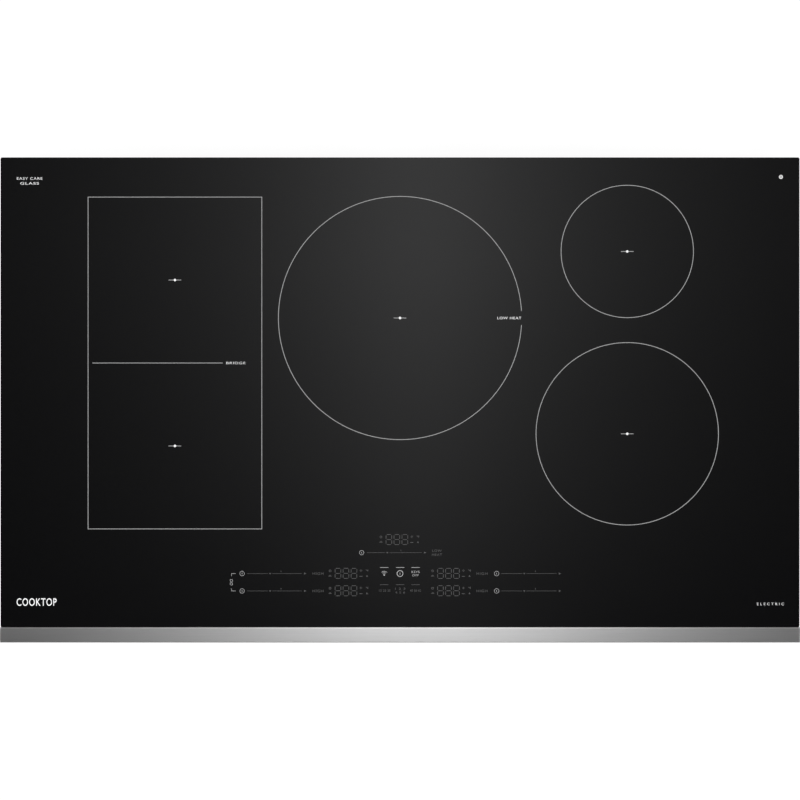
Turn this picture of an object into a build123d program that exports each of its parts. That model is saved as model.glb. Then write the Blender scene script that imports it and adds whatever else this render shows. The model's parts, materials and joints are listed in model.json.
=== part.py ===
"""A 36 inch drop-in induction cooktop, as the separate pieces it comes apart into.

Millimetres. The origin is on the countertop's surface, at the centre of the outline seen from above:
+X to the right, +Y to the rear, +Z up. The glass stands on its gasket above Z = 0, and the burner box
hangs below it through the cut-out.
"""

from build123d import *
from math import cos, hypot, radians, sin
import os

# ---- Driving dimensions ----
OVERALL_W = 920.75  # 36 1/4 in
OVERALL_D = 558.8  # 22 in
GLASS_INSET = 0.25  # the glass stops this far short of the front strip's ends
GLASS_T = 4.0
GASKET_H = 2.5  # foam tape, compressed
GASKET_W = 9.5
TRIM_TOP_D = 17.6  # width of the metal strip along the front edge
TRIM_T = 1.2
SEAM = 0.2  # gap between the glass and the strip

BOX_W = 857.0
BOX_D = 485.0
BOX_Y = 7.0  # the box's centre is this far behind the outline's
BOX_TOP = 0.8
BOX_FLOOR = -94.0  # underside of the box's floor
SHEET = 0.8  # sheet steel of the box
FOOT_H = 3.0
FOOT_R = 16.0
FOOT_X = 390.0
SLOT_W, SLOT_H, SLOT_PITCH, SLOT_Z = 4.0, 26.0, 8.0, -62.0  # vents in the walls
BEAD_H, BEAD_OUT, BEAD_Z = 8.0, 1.4, -27.0  # stiffening beads along the walls
TAB_W, TAB_Z = 15.0, (-88.0, -19.0)  # laps at the corners, spot-welded

# ---- Levels worked out from them ----
GLASS_Z = GASKET_H
TOP_Z = GLASS_Z + GLASS_T
FRONT_Y = -OVERALL_D / 2
REAR_Y = OVERALL_D / 2
GLASS_FRONT_Y = FRONT_Y + TRIM_TOP_D + SEAM
GLASS_D = REAR_Y - GLASS_FRONT_Y
WALL_X = BOX_W / 2
WALL_FRONT_Y = BOX_Y - BOX_D / 2
WALL_REAR_Y = BOX_Y + BOX_D / 2
FLOOR_Z = BOX_FLOOR + SHEET  # inside of the box's floor
INNER_X = WALL_X - SHEET
INNER_REAR_Y = WALL_REAR_Y - SHEET

# ---- Bond lines and the frame under the glass ----
BOND_T = 0.5
FRAME_T = 1.0
FRAME_LEG = 20.0
FRAME_FLANGE = 8.0
FRAME_BOND_W = 5.0
FRAME_GAP = 0.1

# ---- Cooking zones: centre, and the diameter or sides of the printed mark ----
BIG_X, BIG_Y, BIG_D = 0.0, 94.4, 279.4  # 11 in
SMALL_X, SMALL_Y, SMALL_D = 261.6, 171.0, 152.4  # 6 in
MEDIUM_X, MEDIUM_Y, MEDIUM_D = 261.6, -38.9, 209.6  # 8 1/4 in
BRIDGE_X, BRIDGE_Y, BRIDGE_W, BRIDGE_D = -259.1, 42.6, 200.0, 382.0

# ---- Coil stack, from the glass down ----
MICA_T = 0.4
MICA_TOP = GLASS_Z - 0.2
WIRE_TOP = MICA_TOP - MICA_T - 0.1
WIRE_H = 4.8
FORMER_T = 1.5
FERRITE_T = 5.0
SHIELD_T = 1.5
SPRING_H = 12.0
TRAY_T = 1.5
WIRE_BOTTOM = WIRE_TOP - WIRE_H
FORMER_BOTTOM = WIRE_BOTTOM - FORMER_T
FERRITE_BOTTOM = FORMER_BOTTOM - FERRITE_T
SHIELD_BOTTOM = FERRITE_BOTTOM - SHIELD_T
TRAY_TOP = SHIELD_BOTTOM - SPRING_H
TRAY_BOTTOM = TRAY_TOP - TRAY_T
SENSOR_R = 5.0
HUB_R = 9.0
FERRITE_W = 11.0
FERRITES_PER_COIL = 8
POCKET_WALL = 1.2
TURN_FILL = 0.78  # share of a turn's pitch that the litz wire fills

# ---- Power modules: three alike, each a board, a heatsink and a blower ----
MODULE_X = (-296.0, 0.0, 290.0)
BOARD_W, BOARD_D, BOARD_T = 220.0, 230.0, 1.6
BOARD_FRONT_Y = -82.0
BOARD_Z = FLOOR_Z + 6.0
BOARD_TOP = BOARD_Z + BOARD_T
SINK_W, SINK_BASE, SINK_H, SINK_L = 60.0, 8.0, 36.0, 190.0
FIN_COUNT, FIN_T = 9, 1.6
BLOWER_Y = -160.0
BLOWER_OFFSET = -29.0  # from the module to the wheel's axis, so that the outlet faces the heatsink
BLOWER_R = 62.0
BLOWER_WALL = 1.8
BLOWER_TOP = FLOOR_Z + 35.0
OUTLET_W = 62.0
INLET_R = 40.0
WHEEL_R = 51.0
WHEEL_RIM = 5.0
WHEEL_BLADES = 32
SHAFT_R = 1.5
SHAFT_PLAY = 0.06

# ---- Supply entry: a recess in the rear of the box with the conduit connector inside ----
RECESS_X, RECESS_W, RECESS_D, RECESS_TOP = 290.0, 84.0, 42.0, -48.0
RECESS_WALL_Y = WALL_REAR_Y - RECESS_D
CONDUIT_Z = -72.0
CONDUIT_BORE_R = 8.5
NIPPLE_R = 10.5
SADDLE_Y = RECESS_WALL_Y + 15.0
TERMINAL_Y = RECESS_WALL_Y - 26.0
POLE_PITCH = 21.3

# ---- Hold-down clamps on the side walls ----
BRACKET_T = 2.0
BRACKET_W = 46.0
ARM_W = 26.0
ARM_TOP = -66.0
BRACKET_TOP = -34.0
ARM_REACH = 28.0
CLAMP_OUT = 18.0  # clamp screw's axis from the box wall
CLAMP_R = 3.0
CLAMP_PLAY = 0.06
CLAMP_LENGTH = 50.0
CLAMP_TIP = -42.0  # at rest, wound right down
CLAMP_HEAD_R, CLAMP_HEAD_H = 6.2, 4.0
PAD_R, PAD_H, PAD_SOCKET = 7.0, 6.0, 4.0

# ---- Touch controls under the glass ----
PANEL_W = 410.0
PANEL_FRONT_Y, PANEL_REAR_Y = -231.0, -148.0
PANEL_BOTTOM = -17.0
PANEL_WALL = 2.0
TOUCH_Z = -3.2
ROW_Y = (-199.7, -219.7)  # the two rows of sliders
TOP_ROW_Y = -175.7
TOP_DISPLAY_Y = -160.6
DISPLAY_X = 59.4
DISPLAY_W, DISPLAY_D = 46.0, 14.0
KEY_PITCH = 14.0
KEYS_PER_SLIDER = 6
RIBBON_X, RIBBON_Y, RIBBON_W = 62.0, -156.0, 30.0

# ---- Common screws ----
SCREW_R, SCREW_HEAD_R, SCREW_HEAD_H, SCREW_PLAY = 1.9, 3.8, 2.4, 0.1

UPWARD = (Align.CENTER, Align.CENTER, Align.MIN)  # a shape that stands on its own origin


def block(x, y, z):
    """A box from three (low, high) pairs."""
    centre = [(a + b) / 2 for a, b in (x, y, z)]
    return Pos(*centre) * Box(*[b - a for a, b in (x, y, z)])


def post(x, y, z, radius):
    """An upright cylinder from z[0] to z[1]."""
    return Pos(x, y, (z[0] + z[1]) / 2) * Cylinder(radius, z[1] - z[0])


def rod(start, length, radius, axis):
    """A cylinder from a point along +X, -X, +Y or -Y."""
    turn = {"+X": (0, 90, 0), "-X": (0, -90, 0), "+Y": (-90, 0, 0), "-Y": (90, 0, 0)}[axis]
    return Pos(*start) * Rot(*turn) * Cylinder(radius, length, align=UPWARD)


def slab(outline, z):
    """A flat outline made solid from z[0] to z[1]."""
    return Pos(0, 0, z[0]) * extrude(outline, amount=z[1] - z[0])


def fuse(pieces):
    """One solid from overlapping or touching pieces."""
    first, *rest = list(pieces)
    return first.fuse(*rest) if rest else first


def several(pieces):
    """A group of separate solids that share one node."""
    return Compound(children=[s for p in pieces for s in p.solids()])


def rounded(x, y, width, depth, radius):
    return Pos(x, y) * RectangleRounded(width, depth, radius)


def ring(x, y, width, depth, radius, band, z):
    """A rectangular frame whose sides are band wide, measured inwards."""
    outer = rounded(x, y, width, depth, radius)
    inner = rounded(x, y, width - 2 * band, depth - 2 * band, max(radius - band, 0.3))
    return slab(outer - inner, z)


def pan_screw(point, axis, grip):
    """A cross-recessed pan-head screw. Its head sits on point, and its shank runs grip along axis."""
    outward = {"+X": (-1, 0, 0), "-X": (1, 0, 0), "+Y": (0, -1, 0), "-Y": (0, 1, 0)}[axis]
    head = post(0, 0, (0, SCREW_HEAD_H), SCREW_HEAD_R)
    head = fillet(head.edges().group_by(Axis.Z)[-1], 1.0)
    shank = chamfer(post(0, 0, (-grip, 0.5), SCREW_R).edges().group_by(Axis.Z)[0], 0.7)
    arms = [Pos(0, 0, SCREW_HEAD_H) * Box(a, b, 2.2) for a, b in ((4.0, 0.8), (0.8, 4.0))]
    return Plane(origin=point, z_dir=outward) * fuse([head, shank]).cut(*arms)


# ---- Glass, front strip, gasket and frame ----
def glass_top():
    outline = rounded(0, (GLASS_FRONT_Y + REAR_Y) / 2, OVERALL_W - 2 * GLASS_INSET, GLASS_D, 2.0)
    panel = slab(outline, (GLASS_Z, TOP_Z))
    return chamfer(panel.faces().sort_by(Axis.Z)[-1].edges(), 0.8)


def trim_profile(closed):
    """Section of the folded strip, with its lip and the ledge under the glass; closed fills it in."""
    lip_bottom, ledge_z, ledge_d = 0.6, GLASS_Z - BOND_T, 11.0
    web_y = TRIM_TOP_D
    outer = [(0, lip_bottom), (0, TOP_Z), (web_y, TOP_Z), (web_y, ledge_z)]
    outer += [(web_y + ledge_d, ledge_z), (web_y + ledge_d, ledge_z - TRIM_T)]
    if closed:
        return outer + [(web_y - TRIM_T, ledge_z - TRIM_T), (web_y - TRIM_T, lip_bottom)]
    inner_top = TOP_Z - TRIM_T
    return outer + [
        (web_y - TRIM_T, ledge_z - TRIM_T),
        (web_y - TRIM_T, inner_top),
        (TRIM_T, inner_top),
        (TRIM_T, lip_bottom),
    ]


def trim_length(points, x0, x1):
    """The strip's section carried from x0 to x1."""
    face = make_face(Polyline([(FRONT_Y + y, z) for y, z in points], close=True))
    return extrude(Plane.YZ.offset(x0) * face, amount=x1 - x0)


def front_trim():
    half = OVERALL_W / 2
    strip = trim_length(trim_profile(False), -half, half)
    caps = [trim_length(trim_profile(True), x, x + TRIM_T) for x in (-half, half - TRIM_T)]
    body = fuse([strip, *caps])
    front_edge = body.edges().filter_by(Axis.X).group_by(Axis.Z)[-1].sort_by(Axis.Y)[0]
    return fillet(front_edge, 1.1)


def glass_bond():
    """The adhesive beads under the glass: one on the strip's ledge, one on the frame's flange."""
    y0 = GLASS_FRONT_Y + 1.5
    front = block((-OVERALL_W / 2 + 6, OVERALL_W / 2 - 6), (y0, y0 + 8.0), (GLASS_Z - BOND_T, GLASS_Z))
    x, y, width, depth, radius = frame_outline()
    around = ring(x, y, width - 2, depth - 2, radius, FRAME_BOND_W, (GLASS_Z - BOND_T, GLASS_Z))
    return several([front, around - panel_notch()])


def perimeter_gasket():
    """Foam tape round the cut-out, behind the front strip and just inside the glass's other edges."""
    outer_front, outer_rear = FRONT_Y + 30.0, REAR_Y - 7.0
    y, depth = (outer_front + outer_rear) / 2, outer_rear - outer_front
    return ring(0, y, OVERALL_W - 16.0, depth, 10.0, GASKET_W, (0, GASKET_H))


def frame_outline():
    gap = 2 * (SHEET + FRAME_GAP)
    return 0, BOX_Y, BOX_W - gap, BOX_D - gap, 3.0


def panel_notch():
    """The length of the frame's front flange that is left out to make room for the controls."""
    x = PANEL_W / 2 + 1.5
    leg_inside = WALL_FRONT_Y + SHEET + FRAME_GAP + FRAME_T
    return block((-x, x), (leg_inside, leg_inside + 20), (-5, GLASS_Z + 5))


def frame_screw_points():
    """(point on the box's outer wall, inward axis) of each screw that joins the box to the frame."""
    z = -11.0
    sides = [((s * WALL_X, y, z), "-X" if s > 0 else "+X") for s in (-1, 1) for y in (-170.0, 75.0, 200.0)]
    rear = [((x, WALL_REAR_Y, z), "-Y") for x in (-340.0, -115.0, 115.0, 340.0)]
    front = [((x, WALL_FRONT_Y, z), "+Y") for x in (-380.0, -240.0, 240.0, 380.0)]
    return sides + rear + front


def glass_support_frame():
    top = GLASS_Z - BOND_T
    flange = ring(*frame_outline(), FRAME_FLANGE, (top - FRAME_T, top))
    leg = ring(*frame_outline(), FRAME_T, (top - FRAME_LEG, top))
    holes = [rod(p, 6.0, SCREW_R + SCREW_PLAY, axis) for p, axis in frame_screw_points()]
    return fuse([flange, leg]).cut(panel_notch(), *holes)


# ---- Burner box ----
def slot_row(x, y, count, along):
    """Upright slots with round ends through a wall. along is the wall's direction, X or Y."""
    face = SlotOverall(SLOT_H, SLOT_W, rotation=90)
    tools = []
    for i in range(count):
        step = (i - (count - 1) / 2) * SLOT_PITCH
        if along == "X":
            wall = Plane(origin=(x + step, y, SLOT_Z), x_dir=(1, 0, 0), z_dir=(0, -1, 0))
        else:
            wall = Plane(origin=(x, y + step, SLOT_Z), x_dir=(0, 1, 0), z_dir=(1, 0, 0))
        tools.append(extrude(wall * face, amount=4.0, both=True))
    return tools


def intake_slots(x):
    """Parallel slots that fill a circle in the floor under a blower."""
    reach, pitch, width = INLET_R - 1.0, 8.0, 4.2
    tools = []
    for i in range(-4, 5):
        half = (reach**2 - (i * pitch) ** 2) ** 0.5
        face = Pos(x + i * pitch, BLOWER_Y, BOX_FLOOR - 1) * SlotOverall(2 * half, width, rotation=90)
        tools.append(extrude(face, amount=SHEET + 2))
    return tools


def pressed_feet():
    """(outside, inside) of the four feet stamped in the floor."""
    outside, inside = [], []
    low = BOX_FLOOR - FOOT_H
    for x in (-FOOT_X, FOOT_X):
        for y in (WALL_FRONT_Y + 38.0, WALL_REAR_Y - 62.0):
            outside.append(Pos(x, y, low) * Cone(FOOT_R - 3, FOOT_R, FOOT_H, align=UPWARD))
            inside.append(Pos(x, y, low + SHEET) * Cone(FOOT_R - 3.8, FOOT_R - 0.8, FOOT_H, align=UPWARD))
    return outside, inside


def wall_beads():
    """(outside, inside) of the beads pressed outward along the four walls."""
    front_rear, sides = BOX_W - 86.0, BOX_D - 60.0
    runs = [((0, WALL_FRONT_Y), (1, 0, 0), (0, -1, 0), front_rear)]
    runs.append(((0, WALL_REAR_Y), (1, 0, 0), (0, 1, 0), front_rear))
    runs += [((s * WALL_X, BOX_Y), (0, 1, 0), (s, 0, 0), sides) for s in (-1, 1)]
    outside, inside = [], []
    for (x, y), along, outward, length in runs:
        wall = Plane(origin=(x, y, BEAD_Z), x_dir=along, z_dir=outward)
        face, hollow = SlotOverall(length, BEAD_H), SlotOverall(length - 2 * SHEET, BEAD_H - 2 * SHEET)
        outside.append(extrude(wall.offset(-0.1) * face, amount=BEAD_OUT + 0.1, taper=30))
        inside.append(extrude(wall.offset(-SHEET) * hollow, amount=BEAD_OUT, taper=30))
    return outside, inside


def corner_tabs():
    """(laps, dimples): the strips of the side walls folded over the front and rear, and their spot welds."""
    laps, dimples = [], []
    outer = WALL_X - 5.0
    for y, facing in ((WALL_FRONT_Y, -1), (WALL_REAR_Y, 1)):
        for side in (-1, 1):
            x = sorted((side * outer, side * (outer - TAB_W)))
            lap = block(x, sorted((y - facing * 0.1, y + facing * SHEET)), TAB_Z)
            inner_edge = lap.edges().filter_by(Axis.Y).sort_by(Axis.X)
            laps.append(fillet(inner_edge[-2:] if side < 0 else inner_edge[:2], 3.0))
            for z in (-80.0, -62.0, -44.0):
                weld = (side * (outer - TAB_W / 2), y + facing * (SHEET - 0.3), z)
                dimples.append(rod(weld, 1.0, 2.6, "+Y" if facing > 0 else "-Y"))
    return laps, dimples


def recess(grow):
    """The supply recess, open to the rear and below. grow adds the sheet's thickness."""
    x = (RECESS_X - RECESS_W / 2 - grow, RECESS_X + RECESS_W / 2 + grow)
    return block(x, (WALL_REAR_Y - RECESS_D - grow, WALL_REAR_Y + 5), (BOX_FLOOR - 5, RECESS_TOP + grow))


def burner_box():
    outer = slab(rounded(0, BOX_Y, BOX_W, BOX_D, 4.0), (BOX_FLOOR, BOX_TOP))
    outer = fillet(outer.faces().sort_by(Axis.Z)[0].edges(), 2.5)
    inner = slab(rounded(0, BOX_Y, BOX_W - 2 * SHEET, BOX_D - 2 * SHEET, 3.2), (FLOOR_Z, BOX_TOP + 5))
    inner = fillet(inner.faces().sort_by(Axis.Z)[0].edges(), 1.7)
    feet_out, feet_in = pressed_feet()
    beads_out, beads_in = wall_beads()
    laps, dimples = corner_tabs()
    shell = fuse([outer - recess(0), *feet_out, *beads_out, *laps])
    body = shell.cut(inner - recess(SHEET), *feet_in, *beads_in, *dimples)
    cuts = [s for x in MODULE_X for s in intake_slots(x + BLOWER_OFFSET)]
    for x, count in ((-300.0, 14), (-100.0, 14), (100.0, 14), (385.0, 7)):
        cuts += slot_row(x, WALL_REAR_Y, count, "X")
    for side in (-WALL_X, WALL_X):
        for y, count in ((155.0, 12), (-150.0, 8)):
            cuts += slot_row(side, y, count, "Y")
    cuts += [rod(p, 3.0, SCREW_R + SCREW_PLAY, axis) for p, axis in frame_screw_points()]
    cuts += [rod(p, 6.0, SCREW_R + SCREW_PLAY, axis) for p, axis in bracket_screw_points()]
    cuts.append(rod((RECESS_X, WALL_REAR_Y - RECESS_D - 3, CONDUIT_Z), 6.0, NIPPLE_R + SCREW_PLAY, "+Y"))
    return body.cut(*cuts)


def case_screws():
    """The identical screws through the case: into the frame's leg, and through each clamp bracket."""
    frame = [pan_screw(p, axis, SHEET + FRAME_GAP + FRAME_T + 3.0) for p, axis in frame_screw_points()]
    bracket = [pan_screw(p, axis, BRACKET_T + SHEET + 4.0) for p, axis in bracket_screw_points()]
    return several(frame + bracket)


# ---- Hold-down clamps ----
def bracket_screw_points():
    points = []
    for side in (-1, 1):
        for y in (BOX_Y - 14.0, BOX_Y + 14.0):
            points.append(((side * (WALL_X + BRACKET_T), y, -46.0), "-X" if side > 0 else "+X"))
    return points


def clamp_axis_x(side):
    return side * (WALL_X + CLAMP_OUT)


def hold_down_bracket(side):
    wall, out = side * WALL_X, side * (WALL_X + BRACKET_T)
    tip = side * (WALL_X + ARM_REACH)
    low = ARM_TOP - BRACKET_T
    flange = block(sorted((wall, out)), (BOX_Y - BRACKET_W / 2, BOX_Y + BRACKET_W / 2), (low, BRACKET_TOP))
    arm = block(sorted((wall, tip)), (BOX_Y - ARM_W / 2, BOX_Y + ARM_W / 2), (low, ARM_TOP))
    flange = fillet(flange.edges().filter_by(Axis.X).group_by(Axis.Z)[-1], 6.0)
    arm_tip_edges = arm.edges().filter_by(Axis.Z).sort_by(Axis.X)
    arm = fillet(arm_tip_edges[:2] if side < 0 else arm_tip_edges[-2:], 6.0)
    corner = Polyline([(out, ARM_TOP), (out + side * 7, ARM_TOP), (out, ARM_TOP + 7)], close=True)
    gusset = extrude(Plane.XZ.offset(-BOX_Y) * make_face(corner), amount=3.0, both=True)
    body = fuse([flange, arm, gusset])
    x = clamp_axis_x(side)
    holes = [post(x, BOX_Y, (low - 5, ARM_TOP + 1), CLAMP_R + CLAMP_PLAY)]
    holes += [rod(p, 6.0, SCREW_R + SCREW_PLAY, axis) for p, axis in bracket_screw_points()]
    boss = post(x, BOX_Y, (low - 1.6, ARM_TOP), 5.5)  # extruded collar that carries the thread
    return fuse([body, boss]).cut(*holes)


def clamp_screw(side):
    x = clamp_axis_x(side)
    low = CLAMP_TIP - CLAMP_LENGTH
    shank = chamfer(post(x, BOX_Y, (low, CLAMP_TIP), CLAMP_R).faces().sort_by(Axis.Z)[-1].edges(), 0.6)
    washer = post(x, BOX_Y, (low - 1.2, low), CLAMP_HEAD_R)
    hexagon = Pos(x, BOX_Y) * RegularPolygon(5.0, 6, major_radius=False)
    head = slab(hexagon, (low - CLAMP_HEAD_H, low - 1.2))
    cross = [Box(5.2, 1.1, 2.4), Box(1.1, 5.2, 2.4)]
    return fuse([shank, washer, head]).cut(*[Pos(x, BOX_Y, low - CLAMP_HEAD_H + 1.2) * arm for arm in cross])


def clamp_pad(side):
    """The swivel foot on the clamp screw's tip, which presses on the countertop's underside."""
    x = clamp_axis_x(side)
    ceiling = CLAMP_TIP + 0.1
    top = ceiling + PAD_H - PAD_SOCKET
    body = post(x, BOX_Y, (top - PAD_H, top), PAD_R)
    body = fillet(body.edges().group_by(Axis.Z)[-1], 1.0)
    return body - post(x, BOX_Y, (top - PAD_H - 1, ceiling), CLAMP_R + CLAMP_PLAY)


# ---- Supply entry ----
def saddle_x():
    return [RECESS_X - 16.4, RECESS_X + 16.4]


def conduit_connector():
    """Screw-in connector for flexible conduit: nipple, hex shoulder, barrel and clamp saddle."""
    x, z = RECESS_X, CONDUIT_Z
    shoulder = Plane.XZ.offset(-RECESS_WALL_Y) * Pos(x, z) * RegularPolygon(14.0, 6, major_radius=False)
    shoulder = extrude(shoulder, amount=-5.0)
    nipple = rod((x, RECESS_WALL_Y - 10.0, z), 10.5, NIPPLE_R, "+Y")
    barrel = rod((x, RECESS_WALL_Y + 4.0, z), 24.0, 12.0, "+Y")
    lip = rod((x, RECESS_WALL_Y + 25.5, z), 2.5, 13.2, "+Y")
    ear = block((x - 20.0, x + 20.0), (SADDLE_Y - 5.0, SADDLE_Y + 5.0), (z - 3.0, z + 3.0))
    bore = rod((x, RECESS_WALL_Y - 12.0, z), 45.0, CONDUIT_BORE_R, "+Y")
    screw_holes = [post(at, SADDLE_Y, (z - 8, z + 8), 1.7) for at in saddle_x()]
    return fuse([shoulder, nipple, barrel, lip, ear]).cut(bore, *screw_holes)


def saddle_screws():
    """The pair of slotted screws that draw the connector's saddle onto the conduit."""
    head = Cylinder(3.2, 2.2, align=UPWARD)
    shank = Pos(0, 0, -9.0) * Cylinder(1.6, 9.5, align=UPWARD)
    slot = Pos(0, 0, 1.4) * Box(7.0, 0.8, 1.6, align=UPWARD)
    screw = head.fuse(shank) - slot
    return several(Pos(x, SADDLE_Y, CONDUIT_Z + 3.0) * screw for x in saddle_x())


def conduit_locknut():
    y = RECESS_WALL_Y - SHEET
    body = rod((RECESS_X, y, CONDUIT_Z), 4.0, 15.0, "-Y")
    notches = []
    for angle in range(0, 360, 45):
        across, up = 15.5 * cos(radians(angle)), 15.5 * sin(radians(angle))
        notches.append(Pos(RECESS_X + across, y - 2, CONDUIT_Z + up) * Box(4.5, 6.0, 4.5))
    return body.cut(rod((RECESS_X, y + 1, CONDUIT_Z), 6.0, NIPPLE_R + 0.06, "-Y"), *notches)


def terminal_x():
    return [RECESS_X + i * POLE_PITCH for i in (-1, 0, 1)]


def terminal_block():
    """Three-pole supply terminal block on the floor before the recess, with barriers between the poles."""
    height, half_w = 13.0, 1.5 * POLE_PITCH
    y = (TERMINAL_Y - 11.0, TERMINAL_Y + 11.0)
    base = block((RECESS_X - half_w, RECESS_X + half_w), y, (FLOOR_Z, FLOOR_Z + height))
    barriers = []
    for i in range(4):
        x = RECESS_X + (i - 1.5) * POLE_PITCH
        barriers.append(block((x - 1.2, x + 1.2), y, (FLOOR_Z, FLOOR_Z + height + 7)))
    pockets = [
        block((x - 8, x + 8), (TERMINAL_Y - 9, TERMINAL_Y + 9), (FLOOR_Z + height - 2, FLOOR_Z + 40))
        for x in terminal_x()
    ]
    return fuse([base, *barriers]).cut(*pockets)


def terminal_screws():
    """The wire clamps of the terminal block: a square plate under a screw head for each pole."""
    y, z = TERMINAL_Y, FLOOR_Z + 11.0
    return several(
        fuse([block((x - 7.5, x + 7.5), (y - 8.5, y + 8.5), (z, z + 1.0)), post(x, y, (z, z + 4.5), 3.4)])
        for x in terminal_x()
    )


# ---- Coils ----
def zones():
    """Each coil: name, centre, half-size of its winding, and whether it is round or a rounded square."""
    quarter, bridge_half = BRIDGE_D / 4, BRIDGE_W / 2 - 13.0
    return [
        ("left_rear", BRIDGE_X, BRIDGE_Y + quarter, bridge_half, "square"),
        ("left_front", BRIDGE_X, BRIDGE_Y - quarter, bridge_half, "square"),
        ("centre", BIG_X, BIG_Y, BIG_D / 2 - 8.0, "round"),
        ("right_rear", SMALL_X, SMALL_Y, SMALL_D / 2 - 10.2, "round"),
        ("right_front", MEDIUM_X, MEDIUM_Y, MEDIUM_D / 2 - 7.0, "round"),
    ]


def zone_outline(x, y, half, kind):
    """The winding's outline at a given half-size."""
    if kind == "round":
        return Pos(x, y) * Circle(half)
    corner = max(0.55 * half, 6.0)
    return rounded(x, y, 2 * half, 2 * half, corner)


def winding(x, y, kind, inner, outer, turns):
    """A flat coil of litz wire: one ridge for each turn, on the thinner web that bonds the turns."""
    pitch = (outer - inner) / turns
    web = zone_outline(x, y, outer - 0.3, kind) - zone_outline(x, y, inner + 0.3, kind)
    pieces = [slab(web, (WIRE_BOTTOM + 1.0, WIRE_TOP - 1.0))]
    for i in range(turns):
        low = inner + (i + (1 - TURN_FILL) / 2) * pitch
        turn = zone_outline(x, y, low + TURN_FILL * pitch, kind) - zone_outline(x, y, low, kind)
        pieces.append(slab(turn, (WIRE_BOTTOM, WIRE_TOP)))
    return fuse(pieces)


def ferrite_span(half, kind):
    """Inner and outer reach of a coil's ferrite bars from its centre."""
    return HUB_R + 8.0, half - (3.0 if kind == "round" else 6.0)


def ferrite_places(x, y, half, kind):
    inner, outer = ferrite_span(half, kind)
    for i in range(FERRITES_PER_COIL):
        angle = 360.0 / FERRITES_PER_COIL * (i + 0.5)
        turn = Pos(x, y, (FERRITE_BOTTOM + FORMER_BOTTOM) / 2) * Rot(0, 0, angle)
        yield turn * Pos((inner + outer) / 2, 0, 0), outer - inner


def former(x, y, half, kind):
    """The plastic carrier that holds a winding above and its ferrite bars below."""
    rim = half + 2.6
    floor = slab(zone_outline(x, y, rim, kind), (FORMER_BOTTOM, WIRE_BOTTOM))
    band = zone_outline(x, y, rim, kind) - zone_outline(x, y, half + 0.8, kind)
    edge = slab(band, (FORMER_BOTTOM, WIRE_TOP - 1.5))
    hub = post(x, y, (FERRITE_BOTTOM, WIRE_TOP - 1.0), HUB_R)
    pockets, bars = [], []
    for place, length in ferrite_places(x, y, half, kind):
        pockets.append(place * Box(length + 2 * POCKET_WALL, FERRITE_W + 2 * POCKET_WALL, FERRITE_T))
        bars.append(place * Box(length, FERRITE_W, FERRITE_T + 0.001))
    body = fuse([floor, edge, hub, *pockets])
    return body.cut(*bars, post(x, y, (FERRITE_BOTTOM - 1, WIRE_TOP + 1), SENSOR_R + 1.0))


def ferrite_bars():
    bars = []
    for _, x, y, half, kind in zones():
        bars += [
            place * Box(length - 0.4, FERRITE_W - 0.4, FERRITE_T - 0.2)
            for place, length in ferrite_places(x, y, half, kind)
        ]
    return several(bars)


def coil_shields():
    """Aluminium plates that close each coil assembly below."""
    return several(
        slab(zone_outline(x, y, half + 2.0, kind), (SHIELD_BOTTOM, FERRITE_BOTTOM))
        - post(x, y, (SHIELD_BOTTOM - 1, FERRITE_BOTTOM + 1), SENSOR_R + 3.0)
        for _, x, y, half, kind in zones()
    )


def mica_sheets():
    return several(
        slab(zone_outline(x, y, half + 2.0, kind), (MICA_TOP - MICA_T, MICA_TOP))
        - post(x, y, (MICA_TOP - 2, MICA_TOP + 1), SENSOR_R + 0.6)
        for _, x, y, half, kind in zones()
    )


def temperature_sensors():
    """Spring-loaded probe at the centre of each coil: cap against the glass, stem, and body in the hub."""
    probes = []
    for _, x, y, _, _ in zones():
        cap = post(x, y, (MICA_TOP - 3.0, MICA_TOP), SENSOR_R)
        stem = post(x, y, (SHIELD_BOTTOM, MICA_TOP - 2.5), 2.4)
        body = post(x, y, (SHIELD_BOTTOM - 6.0, SHIELD_BOTTOM + 2.0), SENSOR_R)
        probes.append(fuse([cap, stem, body]))
    return several(probes)


def spring_places():
    for _, x, y, half, _ in zones():
        for i in range(3):
            angle = radians(90 + 120 * i)
            reach = 0.62 * half
            yield x + reach * cos(angle), y + reach * sin(angle)


def coil_springs():
    """Compression springs that press the coil assemblies up against the glass."""
    wire, radius, pitch = 0.5, 4.0, 2.4
    height = SPRING_H - 2 * wire - 0.2
    springs = []
    for x, y in spring_places():
        path = Helix(pitch=pitch, height=height, radius=radius)
        start = Plane(path @ 0, z_dir=path % 0)
        spring = sweep(start * Circle(wire), path=path, is_frenet=True)
        springs.append(Pos(x, y, TRAY_TOP + wire + 0.1) * spring)
    return several(springs)


def coil_tray(x0, x1, names):
    """Aluminium shelf under a group of coils, with folded edges, and a hole for each probe and its leads."""
    y0, y1 = -146.0, INNER_REAR_Y - 5.0
    plate = block((x0, x1), (y0, y1), (TRAY_BOTTOM, TRAY_TOP))
    through = (TRAY_BOTTOM - 1, TRAY_TOP + 1)
    folds = []
    for x in (x0, x1 - TRAY_T):
        folds.append(block((x, x + TRAY_T), (y0 + 18, y1 - 18), (TRAY_BOTTOM - 7, TRAY_TOP)))
    holes = []
    for name, x, y, _, _ in zones():
        if name in names:
            holes += [post(x, y, through, 14.0), block((x + 24, x + 40), (y - 7, y + 7), through)]
    return fuse([plate, *folds]).cut(*holes)


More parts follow.
